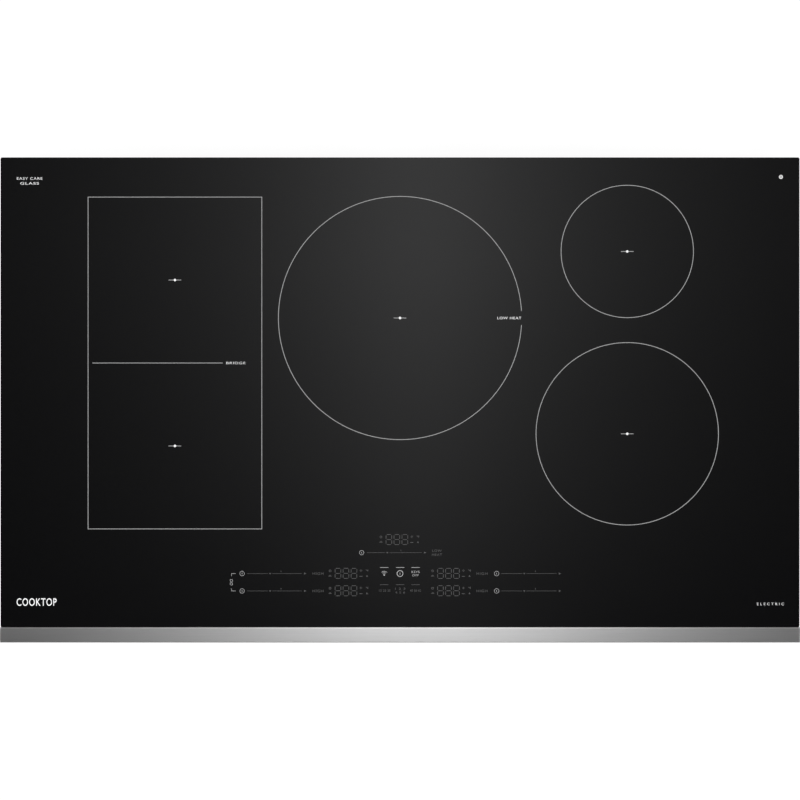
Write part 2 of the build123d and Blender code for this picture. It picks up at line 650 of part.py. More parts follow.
def tray_rails():
    """Two cross rails, fixed to the side walls, that carry the shelves."""
    rails = []
    x = (-INNER_X + 0.3, INNER_X - 0.3)
    rear = INNER_REAR_Y - 4.0
    for y0, y1, web in ((-147.0, -133.0, -147.0), (rear - 14.0, rear, rear - 1.5)):
        ledge = block(x, (y0, y1), (TRAY_BOTTOM - 1.5, TRAY_BOTTOM))
        face = block(x, (web, web + 1.5), (TRAY_BOTTOM - 12, TRAY_BOTTOM))
        rails.append(fuse([ledge, face]))
    return several(rails)


# ---- Power modules ----
def board_y(share):
    return BOARD_FRONT_Y + share * BOARD_D


def spacer_points(x):
    return [(x + sx * (BOARD_W / 2 - 8), board_y(sy)) for sx in (-1, 1) for sy in (0.04, 0.96)]


def drilled_board(x, y, holes):
    board = block(x, y, (BOARD_Z, BOARD_TOP))
    return board.cut(*[post(hx, hy, (BOARD_Z - 1, BOARD_TOP + 1), 2.1) for hx, hy in holes])


def power_board(x):
    y = (BOARD_FRONT_Y, BOARD_FRONT_Y + BOARD_D)
    return drilled_board((x - BOARD_W / 2, x + BOARD_W / 2), y, spacer_points(x))


def filter_board_spacer_points():
    return [(x, y) for x in (-112.0, 142.0) for y in (163.0, 232.0)]


def filter_board():
    return drilled_board((-120.0, 150.0), (156.0, 240.0), filter_board_spacer_points())


def board_spacers():
    """Nylon posts that stand the boards off the floor, each with a snap-in head."""
    foot = post(0, 0, (FLOOR_Z, BOARD_Z), 4.0)
    neck = post(0, 0, (BOARD_Z - 1, BOARD_TOP + 2.5), 2.0)
    points = [p for x in MODULE_X for p in spacer_points(x)] + filter_board_spacer_points()
    return several(Pos(x, y, 0) * foot.fuse(neck) for x, y in points)


def heatsink(x):
    """Extruded comb: a base on the board and upright fins, lined up with the blower's outlet."""
    low = BOARD_TOP + 0.2
    y = (board_y(0.02), board_y(0.02) + SINK_L)
    base = block((x - SINK_W / 2, x + SINK_W / 2), y, (low, low + SINK_BASE))
    pitch = (SINK_W - FIN_T) / (FIN_COUNT - 1)
    fins = [
        block((x - SINK_W / 2 + i * pitch, x - SINK_W / 2 + i * pitch + FIN_T), y, (low, low + SINK_H))
        for i in range(FIN_COUNT)
    ]
    return fuse([base, *fins])


def power_transistors():
    """Four switching transistors along each heatsink, flat against its outer fins."""
    body = block((-2.5, 2.5), (0, 16), (BOARD_TOP + 5, BOARD_TOP + 26))
    legs = [block((-0.4, 0.4), (y, y + 1.2), (BOARD_TOP, BOARD_TOP + 6)) for y in (2.0, 7.4, 12.8)]
    device = fuse([body, *legs])
    reach = SINK_W / 2 + 2.6
    places = [(x + s * reach, board_y(share)) for x in MODULE_X for s in (-1, 1) for share in (0.2, 0.55)]
    return several(Pos(x, y, 0) * device for x, y in places)


def film_capacitors():
    """Boxed film capacitors: three beside each heatsink, and the suppression ones of the mains filter."""
    boxes = []
    for x in MODULE_X:
        for i in range(3):
            y = board_y(0.12 + 0.26 * i)
            boxes.append(block((x + 48, x + 80), (y, y + 40), (BOARD_TOP, BOARD_TOP + 32)))
    boxes += [block((x, x + 17), (178, 212), (BOARD_TOP, BOARD_TOP + 27)) for x in (36.0, 58.0)]
    boxes += [block((x, x + 16), (174, 204), (BOARD_TOP, BOARD_TOP + 22)) for x in (86.0, 110.0)]
    return several(chamfer(b.faces().sort_by(Axis.Z)[-1].edges(), 0.8) for b in boxes)


def electrolytic_capacitors():
    can = post(0, 0, (BOARD_TOP, BOARD_TOP + 34), 11.0)
    can = fillet(can.edges().group_by(Axis.Z)[-1], 1.2)
    return several(Pos(x - 62, board_y(share), 0) * can for x in MODULE_X for share in (0.16, 0.32))


def choke(x, y, radius, thickness, turns):
    """A toroid core lying flat, with its copper turns as bars across it."""
    low = BOARD_TOP + 2.5
    hole = post(x, y, (low - 1, low + thickness + 1), radius * 0.5)
    core = post(x, y, (low, low + thickness), radius) - hole
    wire = []
    for i in range(turns):
        turn = Pos(x, y, low + thickness / 2) * Rot(0, 0, 360 / turns * i)
        loop = Box(radius * 0.5 + 4.4, 2.2, thickness + 4.4) - Box(radius * 0.5 - 0.8, 3.0, thickness - 0.4)
        wire.append(turn * Pos(radius * 0.75, 0, 0) * loop)
    return fuse([core, *wire])


def filter_chokes():
    chokes = [choke(x - 62, board_y(0.62), 19.0, 14.0, 14) for x in MODULE_X]
    return several(chokes + [choke(-70.0, 200.0, 24.0, 18.0, 16), choke(0.0, 200.0, 24.0, 18.0, 16)])


# ---- Blowers ----
def blower_x(x):
    return x + BLOWER_OFFSET


def scroll(x, shrink, z, end_y):
    """The blower casing's outline, shrunk by a wall's thickness for its inside."""
    cx = blower_x(x)
    volute = Pos(cx, BLOWER_Y) * Circle(BLOWER_R - shrink)
    y0, x0, x1 = BLOWER_Y, cx + shrink, cx + OUTLET_W - shrink
    duct = Pos((x0 + x1) / 2, (y0 + end_y) / 2) * Rectangle(x1 - x0, end_y - y0)
    return slab(volute + duct, z)


def blower_casing(x):
    cx = blower_x(x)
    end_y = BOARD_FRONT_Y - 3.0
    outer = scroll(x, 0, (FLOOR_Z, BLOWER_TOP), end_y)
    inner = scroll(x, BLOWER_WALL, (FLOOR_Z + BLOWER_WALL, BLOWER_TOP - BLOWER_WALL), end_y + 5)
    ears, holes = [], []
    for angle in (150, 228):
        ex, ey = cx + 69 * cos(radians(angle)), BLOWER_Y + 69 * sin(radians(angle))
        ears.append(post(ex, ey, (FLOOR_Z, FLOOR_Z + 3.0), 9.0))
        holes.append(post(ex, ey, (FLOOR_Z - 1, FLOOR_Z + 5), 2.0))
    inlet = post(cx, BLOWER_Y, (FLOOR_Z - 1, FLOOR_Z + 3), INLET_R)
    shaft_hole = post(cx, BLOWER_Y, (BLOWER_TOP - 4, BLOWER_TOP + 1), 4.0)
    return fuse([outer, *ears]).cut(inner, inlet, shaft_hole, *holes)


def blower_motor(x):
    """Motor core fixed under the casing's top, with the bearing bore through it."""
    cx = blower_x(x)
    inside = BLOWER_TOP - BLOWER_WALL
    core = post(cx, BLOWER_Y, (inside - 12.0, inside), 14.0)
    bearing = post(cx, BLOWER_Y, (inside - 1, BLOWER_TOP + 1.2), 3.9)
    bore = post(cx, BLOWER_Y, (inside - 20, BLOWER_TOP + 3), SHAFT_R + SHAFT_PLAY)
    return fuse([core, bearing]) - bore


def blower_wheel(x):
    """Forward-curved wheel: hub cup round the motor, back plate, blades, lower ring and shaft."""
    cx = blower_x(x)
    top, low = BLOWER_TOP - BLOWER_WALL - 2.0, FLOOR_Z + BLOWER_WALL + 1.6
    hub_low = top - 14.0
    hollow = post(cx, BLOWER_Y, (hub_low + 1.6, top + 1), 16.6)
    cup = post(cx, BLOWER_Y, (hub_low, top), 19.0) - hollow
    plate = post(cx, BLOWER_Y, (top - 1.5, top), WHEEL_R) - hollow
    eye = post(cx, BLOWER_Y, (low - 1, low + 4), WHEEL_R - WHEEL_RIM)
    rim = post(cx, BLOWER_Y, (low, low + 2.0), WHEEL_R) - eye
    shaft = post(cx, BLOWER_Y, (hub_low, BLOWER_TOP + 0.6), SHAFT_R)
    blades = []
    for i in range(WHEEL_BLADES):
        turn = Pos(cx, BLOWER_Y, (low + top) / 2) * Rot(0, 0, 360 / WHEEL_BLADES * i)
        blades.append(turn * Pos(WHEEL_R - 5.6, 0, 0) * Rot(0, 0, 28) * Box(9.6, 1.0, top - low - 0.4))
    return fuse([cup, plate, rim, shaft, *blades])


# ---- Touch controls ----
def control_housing():
    """Shallow plastic tray that holds the touch board up against the glass."""
    x = (-PANEL_W / 2, PANEL_W / 2)
    y = (PANEL_FRONT_Y, PANEL_REAR_Y)
    w = PANEL_WALL
    outer = block(x, y, (PANEL_BOTTOM, GLASS_Z - 0.2))
    inner = block((x[0] + w, x[1] - w), (y[0] + w, y[1] - w), (PANEL_BOTTOM + w, GLASS_Z + 5))
    ribs = []
    for i in range(1, 7):
        rib_x = x[0] + i * PANEL_W / 7
        ribs.append(block((rib_x - 1.5, rib_x + 1.5), (y[0] + w, y[1] - w), (PANEL_BOTTOM + w, TOUCH_Z)))
    slot_x = (RIBBON_X - RIBBON_W / 2 - 2, RIBBON_X + RIBBON_W / 2 + 2)
    cable_slot = block(slot_x, (RIBBON_Y - 2.5, RIBBON_Y + 2.5), (PANEL_BOTTOM - 1, PANEL_BOTTOM + w + 1))
    return fuse([outer - inner, *ribs]) - cable_slot


def touch_board():
    margin = PANEL_WALL + 0.6
    x = (-PANEL_W / 2 + margin, PANEL_W / 2 - margin)
    return block(x, (PANEL_FRONT_Y + margin, PANEL_REAR_Y - margin), (TOUCH_Z, TOUCH_Z + 1.6))


def display_modules():
    places = [(s * DISPLAY_X, y) for s in (-1, 1) for y in ROW_Y] + [(0.0, TOP_DISPLAY_Y)]
    across, along = DISPLAY_W / 2, DISPLAY_D / 2
    module = block((-across, across), (-along, along), (TOUCH_Z + 1.6, GLASS_Z - 0.3))
    return several(Pos(x, y, 0) * module for x, y in places)


def touch_contacts():
    """Conductive foam pillars that stand on the board under each touch key."""
    slider = [i * KEY_PITCH for i in range(KEYS_PER_SLIDER)]
    places = [(s * (112.0 + d), y) for s in (-1, 1) for y in ROW_Y for d in slider]
    places += [(x, y) for x in (-18.1, 0.0, 18.1) for y in ROW_Y]
    places += [(-44.3 + d, TOP_ROW_Y) for d in slider]
    low, high = TOUCH_Z + 1.6, GLASS_Z - 0.3
    return several(post(x, y, (low, high), 2.6) - post(x, y, (low + 0.6, high + 1), 1.9) for x, y in places)


# ---- Wiring held inside the case ----
def lead(points, radius):
    """A round lead along straight runs joined by arcs, as large as each pair of runs allows."""
    runs = [hypot(*[b - a for a, b in zip(p, q)]) for p, q in zip(points, points[1:])]
    radii = []
    for i in range(1, len(points) - 1):
        before = Vector(*points[i]) - Vector(*points[i - 1])
        after = Vector(*points[i + 1]) - Vector(*points[i])
        half_turn = radians(before.get_angle(after) / 2)
        radii.append(0.45 * min(runs[i - 1], runs[i]) * cos(half_turn) / sin(half_turn))
    path = FilletPolyline(*points, radius=radii)
    return sweep(Plane(path @ 0, z_dir=path % 0) * Circle(radius), path=path)


def coil_leads():
    """A pair of litz tails from each coil, down through its shelf to the nearest power board."""
    left, centre, right = [x + 64.0 for x in MODULE_X]
    ends = {
        "left_rear": (left, 128.0),
        "left_front": (left, -60.0),
        "centre": (centre, 128.0),
        "right_rear": (right, 128.0),
        "right_front": (right, -60.0),
    }
    leads = []
    for name, x, y, _, _ in zones():
        ex, ey = ends[name]
        for shift in (-3.0, 3.0):
            drop = (x + 32.0, y + shift)
            low = BOARD_TOP + 44.0
            points = [
                (*drop, SHIELD_BOTTOM - 0.5),
                (*drop, TRAY_BOTTOM - 12.0),
                ((drop[0] + ex) / 2 + 2, (drop[1] + ey + shift) / 2 + 6, low),
                (ex, ey + shift, low - 4),
                (ex, ey + shift, BOARD_TOP + 0.2),
            ]
            leads.append(lead(points, 1.6))
    return several(leads)


def mains_leads():
    """Supply leads from the terminal block to the filter board, and on in pairs to the power boards."""
    leads = []
    z = FLOOR_Z + 15.2
    for i, x in enumerate(terminal_x()):
        run_y, end_x, end_y = 164.0 - 5.5 * i, 143.0 - 6.0 * i, 176.0 + 18.0 * i
        points = [(x, TERMINAL_Y - 4.2, z), (x, run_y, z), (end_x, run_y, z), (end_x, end_y, z)]
        leads.append(lead([*points, (end_x, end_y, BOARD_TOP + 0.2)], 1.9))
    for from_x, to_x in ((-100.0, -210.0), (18.0, 18.0), (76.0, 200.0)):
        for shift in (-3.0, 3.0):
            a, b = from_x + shift, to_x + shift
            low, high = BOARD_TOP + 0.2, BOARD_TOP + 17.0
            leads.append(lead([(a, 168.0, low), (a, 168.0, high), (b, 140.0, high), (b, 140.0, low)], 1.5))
    return several(leads)


def control_ribbon():
    """Flat cable from the touch board, through the housing's floor, down to the middle power board."""
    run_z, end_y = -42.0, BOARD_FRONT_Y + 3.0
    points = [
        (RIBBON_X, RIBBON_Y, TOUCH_Z - 0.2),
        (RIBBON_X, RIBBON_Y, run_z),
        (RIBBON_X, end_y, run_z),
        (RIBBON_X, end_y, BOARD_TOP + 0.2),
    ]
    path = FilletPolyline(*points, radius=9.0)
    section = Plane(path @ 0, x_dir=(1, 0, 0), z_dir=path % 0) * Rectangle(RIBBON_W, 0.9)
    return sweep(section, path=path)


def make_parts():
    """Every node's name and shape."""
    parts = {
        "glass_top": glass_top(),
        "front_trim": front_trim(),
        "glass_bond": glass_bond(),
        "perimeter_gasket": perimeter_gasket(),
        "glass_support_frame": glass_support_frame(),
        "burner_box": burner_box(),
        "case_screws": case_screws(),
        "conduit_connector": conduit_connector(),
        "conduit_locknut": conduit_locknut(),
        "saddle_screws": saddle_screws(),
        "terminal_block": terminal_block(),
        "terminal_screws": terminal_screws(),
        "left_coil_tray": coil_tray(-425.0, -151.0, ("left_rear", "left_front")),
        "centre_coil_tray": coil_tray(-149.0, 149.0, ("centre",)),
        "right_coil_tray": coil_tray(151.0, 425.0, ("right_rear", "right_front")),
        "tray_rails": tray_rails(),
        "ferrite_bars": ferrite_bars(),
        "coil_shields": coil_shields(),
        "mica_sheets": mica_sheets(),
        "temperature_sensors": temperature_sensors(),
        "coil_springs": coil_springs(),
        "coil_leads": coil_leads(),
        "mains_leads": mains_leads(),
        "control_ribbon": control_ribbon(),
        "filter_board": filter_board(),
        "board_spacers": board_spacers(),
        "heatsinks": several(heatsink(x) for x in MODULE_X),
        "power_transistors": power_transistors(),
        "film_capacitors": film_capacitors(),
        "electrolytic_capacitors": electrolytic_capacitors(),
        "filter_chokes": filter_chokes(),
        "blower_motors": several(blower_motor(x) for x in MODULE_X),
        "control_housing": control_housing(),
        "touch_board": touch_board(),
        "display_modules": display_modules(),
        "touch_contacts": touch_contacts(),
    }
    for side, name in ((-1, "left"), (1, "right")):
        parts[f"{name}_hold_down_bracket"] = hold_down_bracket(side)
        parts[f"{name}_clamp_screw"] = clamp_screw(side)
        parts[f"{name}_clamp_pad"] = clamp_pad(side)
    for x, name in zip(MODULE_X, ("left", "centre", "right")):
        parts[f"{name}_power_board"] = power_board(x)
        parts[f"{name}_blower_casing"] = blower_casing(x)
        parts[f"{name}_blower_wheel"] = blower_wheel(x)
    bridge, single = zones()[:2], zones()[2:]
    parts["bridge_coil_formers"] = several(former(*zone[1:]) for zone in bridge)
    for name, *zone in single:
        parts[f"{name}_coil_former"] = former(*zone)
    bridge_coils = [winding(x, y, kind, 22.0, half, 15) for _, x, y, half, kind in bridge]
    parts["bridge_windings"] = several(bridge_coils)
    (_, x, y, outer, kind), small, medium = single
    parts["centre_inner_winding"] = winding(x, y, kind, 24.0, 82.0, 14)
    parts["centre_outer_winding"] = winding(x, y, kind, 96.0, outer, 9)
    _, x, y, outer, kind = small
    parts["right_rear_winding"] = winding(x, y, kind, 20.0, outer, 12)
    _, x, y, outer, kind = medium
    parts["right_front_winding"] = winding(x, y, kind, 22.0, outer, 18)
    return parts


if __name__ == "__main__":
    os.makedirs("parts", exist_ok=True)
    for node, shape in make_parts().items():
        export_step(shape, f"parts/{node}.step")
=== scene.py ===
"""Looks of a 36 inch induction cooktop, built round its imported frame.

The frame is in metres: +X to the right, +Y to the rear, +Z up. The sizes below are in millimetres, and
mm() turns a point into the frame's units.
"""

import json
import math

import bmesh
import bpy
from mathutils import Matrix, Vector


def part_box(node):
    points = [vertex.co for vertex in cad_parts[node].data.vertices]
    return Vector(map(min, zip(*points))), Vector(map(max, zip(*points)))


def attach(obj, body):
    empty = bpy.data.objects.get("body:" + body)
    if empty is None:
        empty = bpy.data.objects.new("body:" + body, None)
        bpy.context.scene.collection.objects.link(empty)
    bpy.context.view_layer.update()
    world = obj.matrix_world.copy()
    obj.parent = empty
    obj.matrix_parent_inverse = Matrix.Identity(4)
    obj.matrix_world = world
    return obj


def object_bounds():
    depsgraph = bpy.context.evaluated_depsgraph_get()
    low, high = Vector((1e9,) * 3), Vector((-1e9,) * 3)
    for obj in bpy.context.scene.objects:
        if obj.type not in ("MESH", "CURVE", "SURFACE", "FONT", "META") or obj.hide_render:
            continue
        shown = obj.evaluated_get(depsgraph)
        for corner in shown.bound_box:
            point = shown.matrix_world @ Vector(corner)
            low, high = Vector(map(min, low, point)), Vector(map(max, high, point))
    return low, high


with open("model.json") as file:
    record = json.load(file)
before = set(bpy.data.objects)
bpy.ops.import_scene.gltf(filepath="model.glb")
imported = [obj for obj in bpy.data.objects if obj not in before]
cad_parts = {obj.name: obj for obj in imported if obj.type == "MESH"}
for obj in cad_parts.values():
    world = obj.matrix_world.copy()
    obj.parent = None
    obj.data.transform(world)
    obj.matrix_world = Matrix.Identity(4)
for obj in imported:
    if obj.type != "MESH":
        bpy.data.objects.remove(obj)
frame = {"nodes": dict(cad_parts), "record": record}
cad_low, cad_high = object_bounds()
NODES = frame["nodes"]
MM = 0.001


def mm(*values):
    return Vector(values) * MM


def box_mm(node):
    """A node's lowest and highest corner, in millimetres."""
    low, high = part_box(node)
    return low / MM, high / MM


def middle(node):
    """The middle of a node seen from above, in millimetres."""
    low, high = box_mm(node)
    return (low.x + high.x) / 2, (low.y + high.y) / 2


# ---- Print on the glass ----
GLASS_TOP = box_mm("glass_top")[1].z
PRINT_SUNK = 0.01  # how far the fired print reaches into the glass
PRINT_PROUD = 0.04  # and how far it stands above it
LINE_W, FINE_W, THIN_W = 0.75, 0.52, 0.4  # widths of the lines: zones, key bars, rings and sliders
ARC_STEP = 2.0  # longest straight piece of an arc

# Cooking zones: the mark's diameter over each coil
CENTRE_ZONE_D = 280.0
REAR_ZONE_D = 152.4
FRONT_ZONE_D = 210.0
ZONE_GAP = 16.0  # break in the centre ring, where its word stands
BRIDGE_W, BRIDGE_D = 200.0, 382.0
BRIDGE_LINE = (5.0, 155.0)  # ends of the line across the bridge zone, from the zone's left side
CROSS_W = 14.5
DOT_D = 2.9

# Controls: rows and columns, from the middle of the glass
ROW_REAR_Y, ROW_FRONT_Y = -199.8, -219.8
TOP_ROW_Y, TOP_DISPLAY_Y = -175.7, -160.6
LEFT_RING_X, RIGHT_RING_X, TOP_RING_X = -181.8, 111.2, -44.2
RING_R, TOP_RING_R, MASTER_RING_R = 2.85, 2.75, 3.8
LEFT_SLIDER_X, RIGHT_SLIDER_X, TOP_SLIDER_X = -176.0, 116.2, -38.0
LEFT_SLIDER_L, RIGHT_SLIDER_L, TOP_SLIDER_L = 63.0, 64.0, 63.0
SLIDER_BREAK, TOP_SLIDER_BREAK, SLIDER_TICK = 0.42, 0.37, 0.62  # places along a slider, as shares of it
LEFT_DISPLAY_X, RIGHT_DISPLAY_X, TOP_DISPLAY_X = -62.2, 55.8, -3.6
DISPLAY_RAISE = 0.2  # the displays' middles over their rows' lines
DIGIT_W, DIGIT_H, DIGIT_PITCH = 6.6, 11.6, 9.2
SEGMENT_TIP = 0.35  # half of a segment's width
LINK_X, LINK_ARM, LINK_FOOT = -194.1, 5.0, 2.9  # the bracket that joins the two left rows
LINK_RING_R, LINK_RING_STEP = 1.45, 1.85
KEYS_X = (-18.2, 0.2, 18.0)
KEY_BAR_L, KEY_REAR_Y, KEY_FRONT_Y = 9.6, -192.8, -212.6
SIGNAL_X, SIGNAL_Y, SIGNAL_RADII = -18.1, -201.9, (1.5, 3.1, 4.7)

# Words on the controls: (word, x, y, width, height)
BRIGHT_WORDS = (
    ("KEYS", 17.9, -197.9, 9.2, 2.6),
    ("OFF", 17.9, -201.8, 7.4, 2.4),
)
DIM_WORDS = (
    ("HIGH", -94.4, ROW_REAR_Y, 12.6, 2.9),
    ("HIGH", 94.4, ROW_REAR_Y, 12.6, 2.9),
    ("HIGH", -94.4, ROW_FRONT_Y, 12.6, 2.9),
    ("HIGH", 94.4, ROW_FRONT_Y, 12.6, 2.9),
    ("LOW", 42.6, TOP_ROW_Y + 2.2, 11.0, 2.7),
    ("HEAT", 42.6, TOP_ROW_Y - 2.4, 11.6, 2.7),
    ("10 20 30", -17.6, -219.4, 13.0, 2.7),
    ("1 2 3", 0.2, -217.4, 11.6, 2.6),
    ("4 5 6", 0.2, -221.5, 11.2, 2.6),
    ("40 50 60", 17.9, -219.4, 12.6, 2.7),
)


class Print:
    """Flat closed shapes that stand a little proud of the glass, given by outlines in millimetres."""

    def __init__(self):
        self.mesh = bmesh.new()
        self.levels = (GLASS_TOP - PRINT_SUNK, GLASS_TOP + PRINT_PROUD)

    def prism(self, outline):
        """The filled outline, whose points run anticlockwise."""
        low, high = ([self.mesh.verts.new(mm(x, y, z)) for x, y in outline] for z in self.levels)
        self.mesh.faces.new(high)
        self.mesh.faces.new(low[::-1])
        for i, first in enumerate(low):
            after = (i + 1) % len(low)
            self.mesh.faces.new((first, low[after], high[after], high[i]))

    def stroke(self, points, width=LINE_W, closed=False):
        """A line of one width along the points, with mitred corners."""
        points = [Vector(p) for p in points]
        count = len(points)
        sections = []
        for i, point in enumerate(points):
            before = points[i - 1] if closed or i else None
            after = points[(i + 1) % count] if closed or i < count - 1 else None
            inward = (point - before).normalized() if before is not None else None
            outward = (after - point).normalized() if after is not None else None
            inward, outward = inward or outward, outward or inward
            along = (inward + outward).normalized()
            across = Vector((-along.y, along.x)) * width / 2 / max(along.dot(outward), 0.3)
            sides = (point + across, point - across)
            sections.append([self.mesh.verts.new(mm(s.x, s.y, z)) for z in self.levels for s in sides])
        for i in range(count if closed else count - 1):
            (a, b, c, d), (e, f, g, h) = sections[i], sections[(i + 1) % count]
            for face in ((c, d, h, g), (a, e, f, b), (a, c, g, e), (b, f, h, d)):
                self.mesh.faces.new(face)
        if not closed:
            a, b, c, d = sections[0]
            self.mesh.faces.new((a, b, d, c))
            a, b, c, d = sections[-1]
            self.mesh.faces.new((a, c, d, b))

    def arc(self, x, y, radius, start=0.0, end=360.0, width=LINE_W):
        """A round line from start to end, in degrees anticlockwise from +X."""
        closed = end - start >= 360.0
        steps = max(16, math.ceil(radius * math.radians(end - start) / ARC_STEP))
        last = steps if closed else steps + 1
        angles = [math.radians(start + (end - start) * i / steps) for i in range(last)]
        points = [(x + radius * math.cos(a), y + radius * math.sin(a)) for a in angles]
        self.stroke(points, width, closed)

    def disc(self, x, y, radius, corners=24):
        turns = [math.tau * i / corners for i in range(corners)]
        self.prism([(x + radius * math.cos(a), y + radius * math.sin(a)) for a in turns])

    def word(self, text, x, y, width, height, weight=0.0, spacing=1.15):
        """A line of plain capitals, width by height, centred on x, y. weight thickens the strokes."""
        letters = bpy.data.curves.new("letters", "FONT")
        letters.body, letters.extrude, letters.resolution_u = text, 0.5, 6
        letters.space_character, letters.offset = spacing, weight
        holder = bpy.data.objects.new("letters", letters)
        bpy.context.scene.collection.objects.link(holder)
        bpy.context.view_layer.update()
        shape = bpy.data.meshes.new_from_object(holder)
        corners = [v.co.copy() for v in shape.vertices]
        low = Vector(min(c[i] for c in corners) for i in range(3))
        high = Vector(max(c[i] for c in corners) for i in range(3))
        for vertex in shape.vertices:
            share = [(vertex.co[i] - low[i]) / (high[i] - low[i]) for i in range(3)]
            z = self.levels[0] + share[2] * (self.levels[1] - self.levels[0])
            vertex.co = mm(x + (share[0] - 0.5) * width, y + (share[1] - 0.5) * height, z)
        self.mesh.from_mesh(shape)
        bpy.data.objects.remove(holder)
        bpy.data.meshes.remove(shape)
        bpy.data.curves.remove(letters)

    def finish(self, name, material):
        bmesh.ops.remove_doubles(self.mesh, verts=self.mesh.verts, dist=1e-7)
        bmesh.ops.recalc_face_normals(self.mesh, faces=self.mesh.faces)
        data = bpy.data.meshes.new(name)
        self.mesh.to_mesh(data)
        self.mesh.free()
        data.materials.append(material)
        piece = bpy.data.objects.new(name, data)
        bpy.context.scene.collection.objects.link(piece)
        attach(piece, "case")
        return piece


# ---- Materials ----
class Finish:
    """The nodes of one material. Textures lie in the frame, so their scales are counts per metre."""

    def __init__(self, name):
        self.material = bpy.data.materials.new(name)
        self.material.use_nodes = True
        self.tree = self.material.node_tree
        self.tree.nodes.clear()
        self.place = self.node("TexCoord").outputs["Object"]

    def node(self, kind, inputs=None, **settings):
        """A node with its settings, and its inputs as values or as other nodes' outputs."""
        made = self.tree.nodes.new("ShaderNode" + kind)
        for key, value in settings.items():
            setattr(made, key, value)
        for key, value in (inputs or {}).items():
            if isinstance(value, bpy.types.NodeSocket):
                self.tree.links.new(value, made.inputs[key])
            else:
                made.inputs[key].default_value = value
        return made

    def stretched(self, x, y, z):
        """The place, with each axis scaled."""
        return self.node("Mapping", {"Vector": self.place, "Scale": (x, y, z)}).outputs["Vector"]

    def noise(self, scale, detail=3.0, roughness=0.55, place=None):
        inputs = {"Vector": place or self.place, "Scale": scale, "Detail": detail, "Roughness": roughness}
        return self.node("TexNoise", inputs).outputs["Fac"]

    def cells(self, scale, output="Distance", place=None, **settings):
        made = self.node("TexVoronoi", {"Vector": place or self.place, "Scale": scale}, **settings)
        return made.outputs[output]

    def lines(self, length, row, width):
        """One along staggered rectangles' edges, and zero inside them. The sizes are in metres."""
        inputs = {
            "Vector": self.place, "Scale": 1.0, "Brick Width": length, "Row Height": row,
            "Mortar Size": width, "Mortar Smooth": 0.1,
        }
        return self.node("TexBrick", inputs).outputs["Fac"]

    def ramp(self, factor, *stops):
        """Colours or greys at places along the factor: stops are (place, value)."""
        made = self.node("ValToRGB", {"Fac": factor})
        elements = made.color_ramp.elements
        while len(elements) < len(stops):
            elements.new(0.5)
        for element, (position, value) in zip(elements, stops):
            element.position = position
            element.color = (*value, 1.0) if isinstance(value, tuple) else (value, value, value, 1.0)
        return made.outputs["Color"]

    def spread(self, factor, low, high, start=0.25, end=0.75):
        """The factor's range from start to end, as low to high."""
        inputs = {"Value": factor, "From Min": start, "From Max": end, "To Min": low, "To Max": high}
        return self.node("MapRange", inputs).outputs["Result"]

    def combined(self, factor, first, second, blend="MIX"):
        """Two colours mixed by the factor."""
        made = self.node("Mix", data_type="RGBA", blend_type=blend)
        for index, value in ((0, factor), (6, first), (7, second)):
            if isinstance(value, bpy.types.NodeSocket):
                self.tree.links.new(value, made.inputs[index])
            else:
                made.inputs[index].default_value = value if isinstance(value, float) else (*value, 1.0)
        return made.outputs[2]

    def sums(self, operation, first, second):
        return self.node("Math", {0: first, 1: second}, operation=operation).outputs["Value"]

    def bump(self, height, distance, strength=1.0, under=None):
        """A normal from a height that stands for distance, in millimetres."""
        inputs = {"Height": height, "Distance": distance * MM, "Strength": strength}
        if under is not None:
            inputs["Normal"] = under
        return self.node("Bump", inputs).outputs["Normal"]

    def surface(self, **inputs):
        """Ends the material with a principled shader."""
        shader = self.node("BsdfPrincipled", {k.replace("_", " "): v for k, v in inputs.items()})
        self.node("OutputMaterial", {"Surface": shader.outputs["BSDF"]})
        return self.material


def shade(colour, amount):
    return tuple(min(1.0, c * amount) for c in colour)


def black_glass():
    """Opaque glass-ceramic: a black body with a faint dot screen, wiped clean, and a dull ground edge."""
    f = Finish("black_glass")
    dots = f.ramp(f.cells(1500.0), (0.25, (0.0042, 0.0042, 0.0046)), (0.5, (0.0016, 0.0016, 0.0018)))
    wipes = f.noise(1.0, 5.0, 0.6, f.stretched(9.0, 30.0, 9.0))
    film = f.noise(420.0, 2.0)
    rough = f.sums("ADD", f.spread(wipes, 0.045, 0.075), f.spread(film, 0.0, 0.012))
    up = f.node("SeparateXYZ", {"Vector": f.node("NewGeometry").outputs["Normal"]}).outputs["Z"]
    rough = f.sums("ADD", rough, f.ramp(up, (0.80, 0.45), (0.95, 0.0)))
    sheen = f.ramp(up, (0.80, 0.05), (0.95, 0.5))
    ripple = f.bump(f.noise(38.0, 1.0), 0.004)
    return f.surface(Base_Color=dots, Roughness=rough, IOR=1.5, Specular_IOR_Level=sheen, Normal=ripple)


